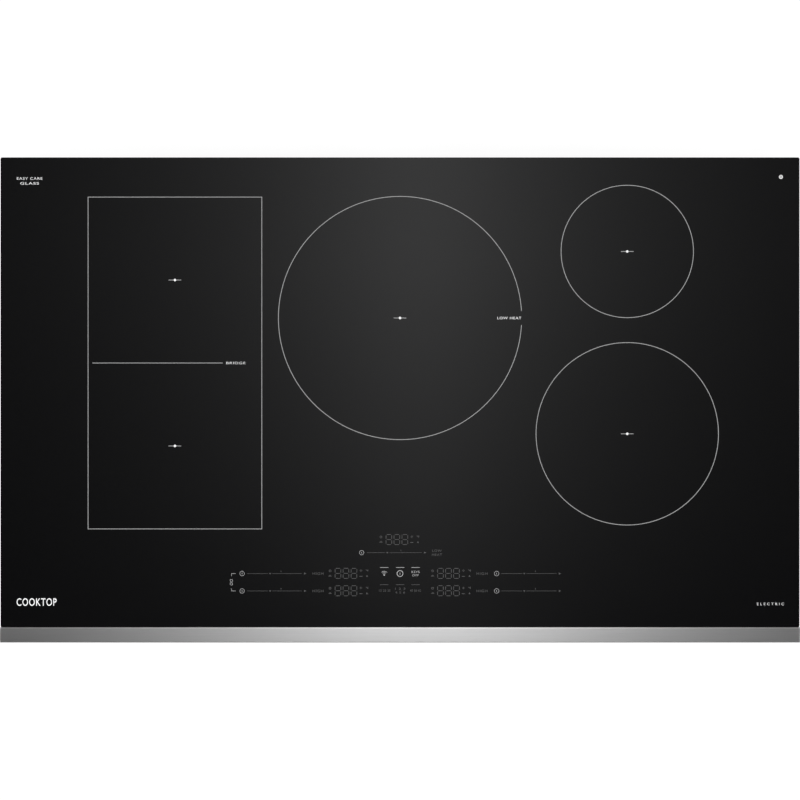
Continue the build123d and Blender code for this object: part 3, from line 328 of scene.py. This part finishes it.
def brushed_stainless():
    """Stainless strip, brushed along its length, with a painted highlight along its rear lip and painted
    shade darkening it towards the front fold.
    """
    f = Finish("brushed_stainless")
    front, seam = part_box("front_trim")[0].y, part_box("glass_top")[0].y
    y = f.node("SeparateXYZ", {"Vector": f.place}).outputs["Y"]
    fine = f.noise(1.0, 4.0, 0.7, f.stretched(18.0, 5200.0, 5200.0))
    broad = f.noise(1.0, 2.0, 0.5, f.stretched(5.0, 900.0, 900.0))
    scratch = f.ramp(f.noise(1.0, 1.0, 0.5, f.stretched(26.0, 2600.0, 2600.0)), (0.70, 0.0), (0.78, 1.0))
    tone = f.ramp(fine, (0.25, (0.53, 0.53, 0.532)), (0.75, (0.69, 0.69, 0.692)))
    tone = f.combined(f.spread(broad, 0.0, 0.3), tone, (0.70, 0.70, 0.702))
    # Painted shade: the colour darkens from the seam towards the front.
    tone = f.combined(f.spread(y, 0.45, 0.0, front, seam), tone, (0.42, 0.42, 0.422))
    # Painted shade: a darker band along the front 1.6 mm, where the edge rounds over.
    tone = f.combined(f.spread(y, 0.5, 0.0, front, front + 1.6 * MM), tone, (0.32, 0.32, 0.322))
    # Painted highlight: a bright band along the rear lip, next to the seam with the glass.
    tone = f.combined(f.spread(y, 0.0, 0.8, seam - 2.2 * MM, seam - 1.2 * MM), tone, (0.86, 0.86, 0.86))
    rough = f.sums("ADD", f.spread(fine, 0.27, 0.35), f.sums("MULTIPLY", scratch, 0.08))
    grooves = f.bump(f.sums("ADD", fine, scratch), 0.003, 0.6)
    across = f.node("CombineXYZ", {"X": 0.0, "Y": 1.0, "Z": 0.0}).outputs["Vector"]
    return f.surface(
        Base_Color=tone, Metallic=1.0, Roughness=rough, Anisotropic=0.75, Tangent=across, Normal=grooves
    )


def sheet_metal(name, colour, grain, rough):
    """Zinc-coated sheet: crystals of differing brightness with a feathered inside, and rolling marks."""
    f = Finish(name)
    crystal = f.node("SeparateColor", {"Color": f.cells(grain, "Color")})
    bright, other = crystal.outputs["Red"], crystal.outputs["Green"]
    feather = f.node("SeparateColor", {"Color": f.cells(grain * 5, "Color")}).outputs["Red"]
    fine = f.noise(grain * 18, 3.0, 0.6)
    tone = f.ramp(bright, (0.0, shade(colour, 0.72)), (0.5, colour), (1.0, shade(colour, 1.22)))
    tone = f.combined(f.spread(feather, 0.0, 0.22, 0.0, 1.0), tone, shade(colour, 0.74))
    tone = f.combined(f.spread(fine, 0.0, 0.16), tone, shade(colour, 1.25))
    smear = f.noise(7.0, 4.0, 0.6)
    tone = f.combined(f.spread(smear, 0.0, 0.30), tone, shade(colour, 0.82))
    uneven = f.spread(other, rough - 0.08, rough + 0.08, 0.0, 1.0)
    uneven = f.sums("ADD", uneven, f.spread(smear, 0.0, 0.08))
    relief = f.bump(f.noise(26.0, 2.0), 0.35, 0.25, f.bump(fine, 0.006, 0.5))
    return f.surface(Base_Color=tone, Metallic=1.0, Roughness=uneven, Normal=relief)


def plated(name, colour, rough, tint, scale=900.0):
    """Plated or cast metal: a mottled coat, fine scratches, and dull grease in places."""
    f = Finish(name)
    mottle = f.noise(scale, 4.0, 0.6)
    patch = f.noise(scale / 12, 3.0)
    tone = f.combined(f.spread(patch, 0.0, 0.6), colour, tint)
    tone = f.combined(f.spread(mottle, 0.0, 0.3), tone, shade(colour, 0.62))
    uneven = f.sums("ADD", f.spread(mottle, rough - 0.06, rough + 0.08), f.spread(patch, 0.0, 0.06))
    relief = f.bump(f.noise(scale * 3, 2.0), 0.012, 0.5)
    return f.surface(Base_Color=tone, Metallic=1.0, Roughness=uneven, Normal=relief)


def threaded():
    """Zinc-plated screw thread of 1 mm pitch, greased, with painted shade in the thread's grooves."""
    f = Finish("threaded_zinc")
    turns = f.node(
        "TexWave", {"Vector": f.place, "Scale": 314.0, "Distortion": 0.0}, bands_direction="Z"
    ).outputs["Fac"]
    head_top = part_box("left_clamp_screw")[0].z + CLAMP_HEAD_H * MM
    z = f.node("SeparateXYZ", {"Vector": f.place}).outputs["Z"]
    turns = f.sums("MAXIMUM", turns, f.spread(z, 1.0, 0.0, head_top, head_top + 0.1 * MM))
    grease = f.noise(300.0, 3.0)
    # Painted shade: the colour is darker in the thread's grooves and lighter on its crests.
    tone = f.ramp(turns, (0.0, (0.34, 0.34, 0.33)), (0.6, (0.66, 0.67, 0.68)))
    tone = f.combined(f.spread(grease, 0.0, 0.4), tone, (0.40, 0.39, 0.34))
    return f.surface(
        Base_Color=tone, Metallic=1.0, Roughness=f.spread(grease, 0.24, 0.4), Normal=f.bump(turns, 0.5)
    )


def drawn(name, colour, rough, stretch):
    """Rolled or extruded metal, streaked along one axis: stretch is counts per metre on each axis."""
    f = Finish(name)
    streaks = f.noise(1.0, 4.0, 0.65, f.stretched(*stretch))
    patch = f.noise(45.0, 3.0)
    tone = f.ramp(streaks, (0.3, shade(colour, 0.82)), (0.7, shade(colour, 1.12)))
    tone = f.combined(f.spread(patch, 0.0, 0.25), tone, shade(colour, 0.75))
    uneven = f.sums("ADD", f.spread(streaks, rough - 0.06, rough + 0.06), f.spread(patch, 0.0, 0.07))
    return f.surface(Base_Color=tone, Metallic=1.0, Roughness=uneven, Normal=f.bump(streaks, 0.008, 0.6))


def moulded(name, colour, rough, grain=2600.0, depth=0.02, **extra):
    """Moulded plastic: a fine spark-eroded grain, slight flow marks, and rubbed patches."""
    f = Finish(name)
    flow = f.noise(22.0, 3.0)
    speckle = f.noise(grain, 3.0, 0.6)
    tone = f.ramp(flow, (0.3, shade(colour, 0.86)), (0.7, shade(colour, 1.12)))
    tone = f.combined(f.spread(speckle, 0.0, 0.22), tone, shade(colour, 0.7))
    uneven = f.sums("ADD", f.spread(flow, rough - 0.05, rough + 0.05), f.spread(speckle, -0.03, 0.03))
    return f.surface(Base_Color=tone, Roughness=uneven, Normal=f.bump(speckle, depth, 0.7), **extra)


def foam(name, colour):
    """Closed-cell foam: a skin of burst cells, with painted shade in their pits and a painted highlight on
    their rims.
    """
    f = Finish(name)
    pores = f.cells(1300.0)
    fine = f.noise(3800.0, 2.0)
    # Painted shade and highlight: darker in the middle of each cell's pit, lighter towards its rim.
    tone = f.ramp(pores, (0.0, shade(colour, 0.5)), (0.45, colour), (0.9, shade(colour, 1.35)))
    relief = f.bump(f.sums("ADD", pores, f.sums("MULTIPLY", fine, 0.4)), 0.25)
    return f.surface(Base_Color=tone, Roughness=f.spread(fine, 0.82, 0.97), Normal=relief)


def wound(name, colour, strand):
    """Bundled, varnished wire: strands side by side, some darker."""
    f = Finish(name)
    strands = f.cells(strand, "Distance")
    each = f.node("SeparateColor", {"Color": f.cells(strand, "Color")}).outputs["Red"]
    tone = f.ramp(each, (0.0, shade(colour, 0.55)), (0.55, colour), (1.0, shade(colour, 1.3)))
    uneven = f.spread(f.noise(260.0, 3.0), 0.3, 0.48)
    relief = f.bump(strands, 0.18, 0.8)
    return f.surface(Base_Color=tone, Metallic=0.85, Roughness=uneven, Normal=relief, Coat_Weight=0.25)


def ferrite_core():
    """Pressed and sintered ferrite: dark, dry, with pits and a few bright grains."""
    f = Finish("ferrite")
    grain = f.noise(2800.0, 4.0, 0.7)
    pits = f.ramp(f.cells(900.0), (0.05, 0.0), (0.22, 1.0))
    tone = f.ramp(
        grain, (0.3, (0.018, 0.018, 0.02)), (0.62, (0.042, 0.042, 0.046)), (0.8, (0.12, 0.12, 0.13))
    )
    relief = f.bump(pits, 0.05, 0.8, f.bump(grain, 0.03))
    return f.surface(Base_Color=tone, Roughness=f.spread(grain, 0.55, 0.75), Normal=relief)


def mica_sheet():
    """Bonded mica paper: overlapping flakes, silvery over amber."""
    f = Finish("mica")
    flakes = f.node("SeparateColor", {"Color": f.cells(260.0, "Color")}).outputs["Red"]
    small = f.noise(1500.0, 3.0)
    tone = f.ramp(flakes, (0.0, (0.34, 0.28, 0.19)), (0.6, (0.52, 0.46, 0.35)), (1.0, (0.66, 0.62, 0.54)))
    tone = f.combined(f.spread(small, 0.0, 0.4), tone, (0.30, 0.24, 0.16))
    uneven = f.spread(flakes, 0.22, 0.5, 0.0, 1.0)
    return f.surface(Base_Color=tone, Roughness=uneven, Normal=f.bump(flakes, 0.03), Sheen_Weight=0.1)


def circuit_board():
    """Green solder resist over square-cornered tracks, with tinned pads and a scatter of vias."""
    f = Finish("circuit_board")
    tracks = f.sums("MAXIMUM", f.lines(0.017, 0.0026, 0.00032), f.lines(0.0071, 0.0113, 0.00045))
    areas = f.cells(70.0, "Color", distance="CHEBYCHEV")
    pours = f.node("SeparateColor", {"Color": areas}).outputs["Green"]
    tone = f.ramp(pours, (0.35, (0.004, 0.055, 0.022)), (0.55, (0.009, 0.10, 0.04)))
    tone = f.combined(tracks, tone, (0.018, 0.15, 0.06))
    pads = f.ramp(f.cells(210.0), (0.13, 1.0), (0.16, 0.0))
    tone = f.combined(pads, tone, (0.62, 0.60, 0.56))
    uneven = f.combined(pads, (0.3, 0.3, 0.3), (0.42, 0.42, 0.42))
    relief = f.bump(f.sums("ADD", f.sums("MULTIPLY", tracks, 0.5), pads), 0.06, 0.8)
    return f.surface(Base_Color=tone, Metallic=pads, Roughness=uneven, Normal=relief)


def capped_can():
    """Capacitors in a dark blue sleeve, open at the top over the aluminium can."""
    f = Finish("electrolytic_sleeve")
    up = f.node("SeparateXYZ", {"Vector": f.node("NewGeometry").outputs["Normal"]}).outputs["Z"]
    top = f.ramp(up, (0.80, 0.0), (0.90, 1.0))
    film = f.noise(300.0, 3.0)
    sleeve = f.ramp(film, (0.3, (0.012, 0.02, 0.055)), (0.7, (0.02, 0.035, 0.09)))
    tone = f.combined(top, sleeve, (0.75, 0.75, 0.76))
    uneven = f.spread(film, 0.24, 0.4)
    relief = f.bump(film, 0.02)
    return f.surface(Base_Color=tone, Metallic=top, Roughness=uneven, Normal=relief)


def ribbed_ribbon():
    """Flat ribbon cable: cores side by side under grey PVC, with painted shade in the grooves between
    them.
    """
    f = Finish("ribbon_pvc")
    cores = f.node(
        "TexWave", {"Vector": f.place, "Scale": 125.0, "Distortion": 0.0}, bands_direction="X"
    ).outputs["Fac"]
    speckle = f.noise(2600.0, 2.0)
    # Painted shade: darker grey in the grooves between the cores, lighter on their ridges.
    tone = f.ramp(cores, (0.0, (0.16, 0.16, 0.165)), (0.6, (0.34, 0.34, 0.35)))
    tone = f.combined(f.spread(speckle, 0.0, 0.2), tone, (0.22, 0.22, 0.22))
    return f.surface(Base_Color=tone, Roughness=f.spread(speckle, 0.42, 0.55), Normal=f.bump(cores, 0.5))


def fired_print(name, tone):
    """Ceramic ink fired on the glass: chalky, slightly uneven in cover."""
    f = Finish(name)
    cover = f.noise(1800.0, 3.0, 0.6)
    thin, full = shade((tone, tone, tone), 0.86), shade((tone, tone, tone * 1.01), 1.1)
    colour = f.ramp(cover, (0.3, thin), (0.7, full))
    relief = f.bump(cover, 0.006)
    return f.surface(Base_Color=colour, Roughness=f.spread(cover, 0.38, 0.55), Normal=relief)


GALVANISED = (0.37, 0.38, 0.392)
CLAMP_HEAD_H = 4.0  # the clamp screw's head and washer, which have no thread
FINISHES = {
    "black_glass": black_glass,
    "brushed_stainless": brushed_stainless,
    "bond_silicone": lambda: moulded("bond_silicone", (0.02, 0.02, 0.021), 0.42, 1200.0, 0.05),
    "gasket_foam": lambda: foam("gasket_foam", (0.028, 0.028, 0.03)),
    "galvanised_steel": lambda: sheet_metal("galvanised_steel", GALVANISED, 130.0, 0.38),
    "zinc_plate": lambda: plated("zinc_plate", (0.66, 0.68, 0.70), 0.28, (0.60, 0.62, 0.52)),
    "clamp_pad_nylon": lambda: moulded("clamp_pad_nylon", (0.62, 0.60, 0.54), 0.45),
    "die_cast_zinc": lambda: plated("die_cast_zinc", (0.52, 0.53, 0.54), 0.42, (0.44, 0.45, 0.46), 500.0),
    "stamped_steel": lambda: plated("stamped_steel", (0.58, 0.58, 0.57), 0.34, (0.50, 0.50, 0.46), 700.0),
    "terminal_plastic": lambda: moulded("terminal_plastic", (0.62, 0.58, 0.47), 0.38),
    "terminal_brass": lambda: plated("terminal_brass", (0.72, 0.54, 0.26), 0.26, (0.60, 0.44, 0.22)),
    "tray_aluminium": lambda: drawn("tray_aluminium", (0.72, 0.73, 0.74), 0.34, (12.0, 900.0, 900.0)),
    "litz_copper": lambda: wound("litz_copper", (0.60, 0.27, 0.12), 1700.0),
    "former_plastic": lambda: moulded("former_plastic", (0.20, 0.18, 0.155), 0.5),
    "ferrite": ferrite_core,
    "mica": mica_sheet,
    "sensor_ceramic": lambda: moulded("sensor_ceramic", (0.74, 0.73, 0.69), 0.3, 1600.0, 0.01),
    "spring_steel": lambda: drawn("spring_steel", (0.42, 0.42, 0.43), 0.3, (500.0, 500.0, 60.0)),
    "lead_silicone": lambda: moulded("lead_silicone", (0.42, 0.05, 0.03), 0.55, 1400.0, 0.04),
    "mains_pvc": lambda: moulded("mains_pvc", (0.03, 0.03, 0.033), 0.42, 1500.0, 0.02),
    "ribbon_pvc": ribbed_ribbon,
    "circuit_board": circuit_board,
    "spacer_nylon": lambda: moulded("spacer_nylon", (0.72, 0.71, 0.66), 0.4),
    "heatsink_aluminium": lambda: drawn(
        "heatsink_aluminium", (0.70, 0.71, 0.72), 0.36, (900.0, 14.0, 900.0)
    ),
    "transistor_epoxy": lambda: moulded("transistor_epoxy", (0.022, 0.022, 0.023), 0.5, 3200.0),
    "film_capacitor_box": lambda: moulded("film_capacitor_box", (0.55, 0.40, 0.06), 0.36),
    "electrolytic_sleeve": capped_can,
    "choke_winding": lambda: wound("choke_winding", (0.55, 0.22, 0.08), 900.0),
    "motor_steel": lambda: drawn("motor_steel", (0.50, 0.51, 0.52), 0.32, (300.0, 300.0, 300.0)),
    "casing_plastic": lambda: moulded("casing_plastic", (0.03, 0.03, 0.032), 0.5, 1800.0, 0.04),
    "wheel_plastic": lambda: moulded("wheel_plastic", (0.055, 0.056, 0.06), 0.46),
    "housing_plastic": lambda: moulded("housing_plastic", (0.30, 0.30, 0.295), 0.48),
    "display_plastic": lambda: moulded("display_plastic", (0.05, 0.05, 0.052), 0.34, 1600.0, 0.01),
    "contact_foam": lambda: foam("contact_foam", (0.22, 0.22, 0.22)),
}


def dress_nodes():
    """Gives every node of the frame the finish of its slot in the record, or one of its own."""
    made = {slot: make() for slot, make in FINISHES.items()}
    bracket = sheet_metal("bracket_steel", (0.40, 0.41, 0.415), 420.0, 0.34)
    own = {
        "left_hold_down_bracket": bracket, "right_hold_down_bracket": bracket,
        "glass_support_frame": sheet_metal("frame_steel", (0.36, 0.37, 0.38), 210.0, 0.42),
        "left_clamp_screw": threaded(), "right_clamp_screw": threaded(),
    }
    for part in frame["record"]["subparts"]:
        data = NODES[part["node"]].data
        data.materials.clear()
        data.materials.append(own.get(part["node"]) or made[part["material_slot"]])


# ---- The zones ----
def cross(mark, dots, x, y):
    """The middle of a zone: a short line on either side of a dot."""
    for side in (-1, 1):
        mark.stroke([(x + side * DOT_D / 2, y), (x + side * CROSS_W / 2, y)], LINE_W)
    dots.disc(x, y, DOT_D / 2)


def zone_print(mark, dots):
    """The outline over each coil, and the marks at the zones' middles."""
    x, y = middle("centre_outer_winding")
    radius = CENTRE_ZONE_D / 2
    half_gap = math.degrees(ZONE_GAP / 2 / radius)
    mark.arc(x, y, radius, half_gap, 360.0 - half_gap)
    cross(mark, dots, x, y)
    for winding, diameter in (("right_rear_winding", REAR_ZONE_D), ("right_front_winding", FRONT_ZONE_D)):
        x, y = middle(winding)
        mark.arc(x, y, diameter / 2)
        cross(mark, dots, x, y)
    x, y = middle("bridge_windings")
    left, front = x - BRIDGE_W / 2, y - BRIDGE_D / 2
    right, rear = x + BRIDGE_W / 2, y + BRIDGE_D / 2
    mark.stroke([(left, front), (right, front), (right, rear), (left, rear)], closed=True)
    mark.stroke([(left + end, y) for end in BRIDGE_LINE])
    for side in (-1, 1):
        cross(mark, dots, x, y + side * BRIDGE_D / 4)


# ---- The controls ----
def digit(mark, x, y):
    """An eight made of seven segments, centred on x, y."""
    right, half, tip = DIGIT_W / 2, DIGIT_H / 2, SEGMENT_TIP
    for level in (-half, 0.0, half):
        ends = x - right + 2 * tip, x + right - 2 * tip
        mark.prism([
            (ends[0], y + level), (ends[0] + tip, y + level - tip), (ends[1] - tip, y + level - tip),
            (ends[1], y + level), (ends[1] - tip, y + level + tip), (ends[0] + tip, y + level + tip),
        ])
    for side in (-right, right):
        for low in (-half, 0.0):
            ends = y + low + 2 * tip, y + low + half - 2 * tip
            mark.prism([
                (x + side, ends[0]), (x + side + tip, ends[0] + tip), (x + side + tip, ends[1] - tip),
                (x + side, ends[1]), (x + side - tip, ends[1] - tip), (x + side - tip, ends[0] + tip),
            ])


def display(mark, x, y):
    """Three digits, with a clock over a pan to their left and four small signs to their right."""
    for step in (-1, 0, 1):
        digit(mark, x + step * DIGIT_PITCH, y)
    left, right, far = x - 18.3, x + 17.2, x + 24.2
    mark.arc(left, y + 2.9, 1.2, width=0.5)
    mark.stroke([(left, y + 2.9), (left, y + 4.0)], 0.4)
    mark.stroke([(left - 1.7, y - 3.1), (left + 1.7, y - 3.1)], 0.7)
    mark.stroke([(left - 1.0, y - 2.1), (left + 1.0, y - 2.1)], 0.5)
    mark.stroke([(right - 1.4, y + 3.2), (right + 1.4, y + 3.2)], 0.6)
    mark.stroke([(right, y + 1.8), (right, y + 4.6)], 0.6)
    mark.stroke([(right - 1.8, y - 3.4), (right + 1.8, y - 3.4)], 0.7)
    mark.stroke([(far - 1.3, y + 4.4), (far + 1.1, y + 2.6), (far + 1.1, y + 4.6)], 0.55)
    mark.prism([(far - 1.2, y - 3.9), (far + 1.2, y - 3.9), (far, y - 1.7)])


def slider(mark, x, y, length, break_at):
    """A line to slide a finger along, with a tick above, a small triangle below and an end mark."""
    gap = x + length * break_at
    mark.stroke([(x, y), (gap - 2.4, y)], THIN_W)
    mark.stroke([(gap + 2.4, y), (x + length, y)], THIN_W)
    mark.prism([(gap - 1.4, y + 0.7), (gap, y - 1.2), (gap + 1.4, y + 0.7)])
    tick = x + length * SLIDER_TICK
    mark.stroke([(tick, y + 1.6), (tick, y + 3.4)], 0.6)
    mark.prism([(x + length + 2.6, y - 1.2), (x + length + 5.4, y), (x + length + 2.6, y + 1.2)])


def power_ring(mark, x, y, radius, width=THIN_W):
    """A ring with a short stroke inside."""
    mark.arc(x, y, radius - width / 2, width=width)
    mark.stroke([(x, y - radius * 0.34), (x, y + radius * 0.34)], FINE_W)


def link(mark):
    """Two linked rings between the left rows, and a bracket that reaches to each row."""
    middle_y = (ROW_REAR_Y + ROW_FRONT_Y) / 2
    for side, row in ((-1, ROW_FRONT_Y), (1, ROW_REAR_Y)):
        mark.stroke([(LINK_X + LINK_ARM, row), (LINK_X, row), (LINK_X, row - side * LINK_FOOT)], THIN_W)
        mark.arc(LINK_X, middle_y + side * LINK_RING_STEP, LINK_RING_R, width=THIN_W)


def keys(bright, dim):
    """The six keys' bars, the signal over the left one and the master ring of the middle one."""
    for x in KEYS_X:
        for mark, y in ((bright, KEY_REAR_Y), (dim, KEY_FRONT_Y)):
            mark.stroke([(x - KEY_BAR_L / 2, y), (x + KEY_BAR_L / 2, y)], FINE_W)
    for radius in SIGNAL_RADII:
        bright.arc(SIGNAL_X, SIGNAL_Y, radius, 48.0, 132.0, FINE_W)
    bright.disc(SIGNAL_X, SIGNAL_Y + 0.2, 0.7)
    power_ring(bright, 0.0, ROW_REAR_Y, MASTER_RING_R, LINE_W)


def control_print():
    """The bright marks that always show, and the dim ones that wait for the light behind them."""
    bright, dim = Print(), Print()
    for y in (ROW_REAR_Y, ROW_FRONT_Y):
        power_ring(bright, LEFT_RING_X, y, RING_R)
        power_ring(bright, RIGHT_RING_X, y, RING_R)
        slider(dim, LEFT_SLIDER_X, y, LEFT_SLIDER_L, SLIDER_BREAK)
        slider(dim, RIGHT_SLIDER_X, y, RIGHT_SLIDER_L, SLIDER_BREAK)
        display(dim, LEFT_DISPLAY_X, y + DISPLAY_RAISE)
        display(dim, RIGHT_DISPLAY_X, y + DISPLAY_RAISE)
    power_ring(bright, TOP_RING_X, TOP_ROW_Y, TOP_RING_R)
    slider(dim, TOP_SLIDER_X, TOP_ROW_Y, TOP_SLIDER_L, TOP_SLIDER_BREAK)
    display(dim, TOP_DISPLAY_X, TOP_DISPLAY_Y)
    link(bright)
    keys(bright, dim)
    for words, mark in ((BRIGHT_WORDS, bright), (DIM_WORDS, dim)):
        for word in words:
            mark.word(*word)
    return bright, dim


# ---- Marks in the corners and words beside the zones ----
def label_print(mark):
    """The words of two zones, and the plain words and the round mark in the corners."""
    x, y = middle("centre_outer_winding")
    mark.word("LOW HEAT", x + CENTRE_ZONE_D / 2 - 14.2, y, 27.5, 2.9)
    x, y = middle("bridge_windings")
    mark.word("BRIDGE", x + 70.2, y, 22.0, 2.7, -0.006)
    low, high = box_mm("glass_top")
    mark.word("COOKTOP", low.x + 41.8, low.y + 29.0, 46.0, 8.8, 0.008)
    mark.word("ELECTRIC", high.x - 33.6, low.y + 26.8, 31.0, 2.9, -0.006, 1.7)
    mark.word("EASY CARE", low.x + 33.8, high.y - 24.4, 29.4, 2.9, -0.004)
    mark.word("GLASS", low.x + 33.8, high.y - 30.0, 21.6, 2.9)
    x, y = high.x - 21.6, high.y - 22.6
    mark.arc(x, y, 1.9, width=0.8)
    mark.disc(x, y, 0.8)


# ---- Studio ----
FOCAL = 70.0
SENSOR = 36.0
PICTURE_W = 921.0  # how much of the glass's plane the picture takes in
STRIP_SIDE, STRIP_POWER = 0.076, 6.7  # the strip light's fade to the sides, and its brightness
SKY_SIDE, SKY_POWER = 0.110, 1.3  # the softbox's fade to the sides, and its brightness
SKY_OFF, SKY_ROUND = 0.014, 0.03  # the softbox's middle, and the roundness of its peak, as tangents

# Brightness from front to rear, at half the tangent plus a half, and from the horizon up, at the sine
SKY_DEPTH = ((0.40, 0.0), (0.428, 0.19), (0.5, 0.60), (0.545, 0.90), (0.6, 0.98), (0.75, 0.9), (0.9, 0.0))
STRIP_DEPTH = ((0.17, 0.0), (0.22, 1.0), (0.38, 1.0), (0.415, 0.0))
HORIZON = ((0.0, 0.26), (0.14, 0.62), (0.34, 0.33), (0.7, 0.15), (0.95, 0.015))


class World:
    """The nodes of the surroundings."""

    def __init__(self):
        world = bpy.data.worlds.new("studio")
        bpy.context.scene.world = world
        world.use_nodes = True
        self.tree = world.node_tree
        self.tree.nodes.clear()

    def node(self, kind, *inputs, **settings):
        made = self.tree.nodes.new("ShaderNode" + kind)
        for key, value in settings.items():
            setattr(made, key, value)
        for index, value in enumerate(inputs):
            if isinstance(value, bpy.types.NodeSocket):
                self.tree.links.new(value, made.inputs[index])
            else:
                made.inputs[index].default_value = value
        return made

    def sums(self, operation, *values):
        return self.node("Math", *values, operation=operation).outputs[0]

    def curve(self, value, *stops):
        """A grey for each value, straight between the stops, which are (value, grey)."""
        made = self.node("ValToRGB", value)
        elements = made.color_ramp.elements
        while len(elements) < len(stops):
            elements.new(0.5)
        for element, (position, grey) in zip(elements, stops):
            element.position, element.color = position, (grey, grey, grey, 1.0)
        return made.outputs[0]


def studio_world():
    """A softbox straight above that fades to the ends and the front, a strip light, and a pale horizon."""
    w = World()
    way = w.node("TexCoord").outputs["Generated"]
    x, y, z = w.node("SeparateXYZ", way).outputs
    height = w.sums("MAXIMUM", z, 0.05)
    aside = w.sums("SUBTRACT", w.sums("DIVIDE", x, height), SKY_OFF)
    aside = w.sums("SQRT", w.sums("MULTIPLY_ADD", aside, aside, SKY_ROUND**2))
    ahead = w.sums("MULTIPLY_ADD", w.sums("DIVIDE", y, height), 0.5, 0.5)
    fade = w.sums("EXPONENT", w.sums("MULTIPLY", aside, -1.0 / SKY_SIDE))
    depth = w.curve(ahead, *SKY_DEPTH)
    softbox = w.sums("MULTIPLY", w.sums("MULTIPLY", fade, depth), SKY_POWER)
    strip = w.sums("EXPONENT", w.sums("MULTIPLY", aside, -1.0 / STRIP_SIDE))
    strip = w.sums("MULTIPLY", strip, w.curve(ahead, *STRIP_DEPTH))
    strip = w.sums("MULTIPLY", strip, STRIP_POWER)
    horizon = w.curve(z, *HORIZON)
    light = w.sums("ADD", w.sums("ADD", softbox, strip), horizon)
    lit = w.node("Background", light, 1.0).outputs[0]
    plain = w.node("Background", (1.0, 1.0, 1.0, 1.0), 1.05).outputs[0]
    seen = w.node("LightPath").outputs["Is Camera Ray"]
    w.node("OutputWorld", w.node("MixShader", seen, lit, plain).outputs[0])


def sun(name, direction, spread, strength):
    """A wide, even lamp that lights surfaces but isn't mirrored in them."""
    data = bpy.data.lights.new(name, "SUN")
    data.angle, data.energy = math.radians(spread), strength
    lamp = bpy.data.objects.new(name, data)
    bpy.context.scene.collection.objects.link(lamp)
    lamp.rotation_mode = "QUATERNION"
    lamp.rotation_quaternion = Vector(direction).to_track_quat("-Z", "Y")
    lamp.visible_glossy = False


def floor():
    f = Finish("floor")
    cloud = f.noise(6.0, 3.0)
    shader = {
        "Base_Color": f.ramp(cloud, (0.3, 0.15), (0.7, 0.17)), "Roughness": 0.9,
        "Specular_IOR_Level": 0.0,
        "Emission_Color": (1.0, 1.0, 1.0, 1.0), "Emission_Strength": 0.86,
    }
    material = f.surface(**shader)
    mesh = bmesh.new()
    bmesh.ops.create_grid(mesh, x_segments=8, y_segments=8, size=14.0)
    data = bpy.data.meshes.new("floor")
    mesh.to_mesh(data)
    mesh.free()
    data.materials.append(material)
    ground = bpy.data.objects.new("floor", data)
    bpy.context.scene.collection.objects.link(ground)
    ground.location.z = cad_low.z - 0.0002


def camera():
    """Straight above the middle of the glass, as wide as the picture."""
    data = bpy.data.cameras.new("camera")
    data.lens, data.sensor_width = FOCAL, SENSOR
    eye = bpy.data.objects.new("camera", data)
    bpy.context.scene.collection.objects.link(eye)
    eye.location = mm(0.0, 0.0, GLASS_TOP + PICTURE_W * FOCAL / SENSOR)
    bpy.context.scene.camera = eye


dress_nodes()
zone_marks, white_marks = Print(), Print()
zone_print(zone_marks, white_marks)
label_print(white_marks)
zone_marks.finish("zone_print", fired_print("print_grey", 0.34))
white_marks.finish("label_print", fired_print("print_white", 0.90))
bright_marks, dim_marks = control_print()
bright_marks.finish("control_print", fired_print("print_bright", 0.42))
dim_marks.finish("hidden_print", fired_print("print_dim", 0.07))
studio_world()
sun("overhead", (0.06, 0.06, -1.0), 50.0, 2.5)
sun("side", (-0.75, 0.30, -0.55), 40.0, 0.4)
floor()
camera()
bpy.context.scene.view_settings.view_transform = "Standard"
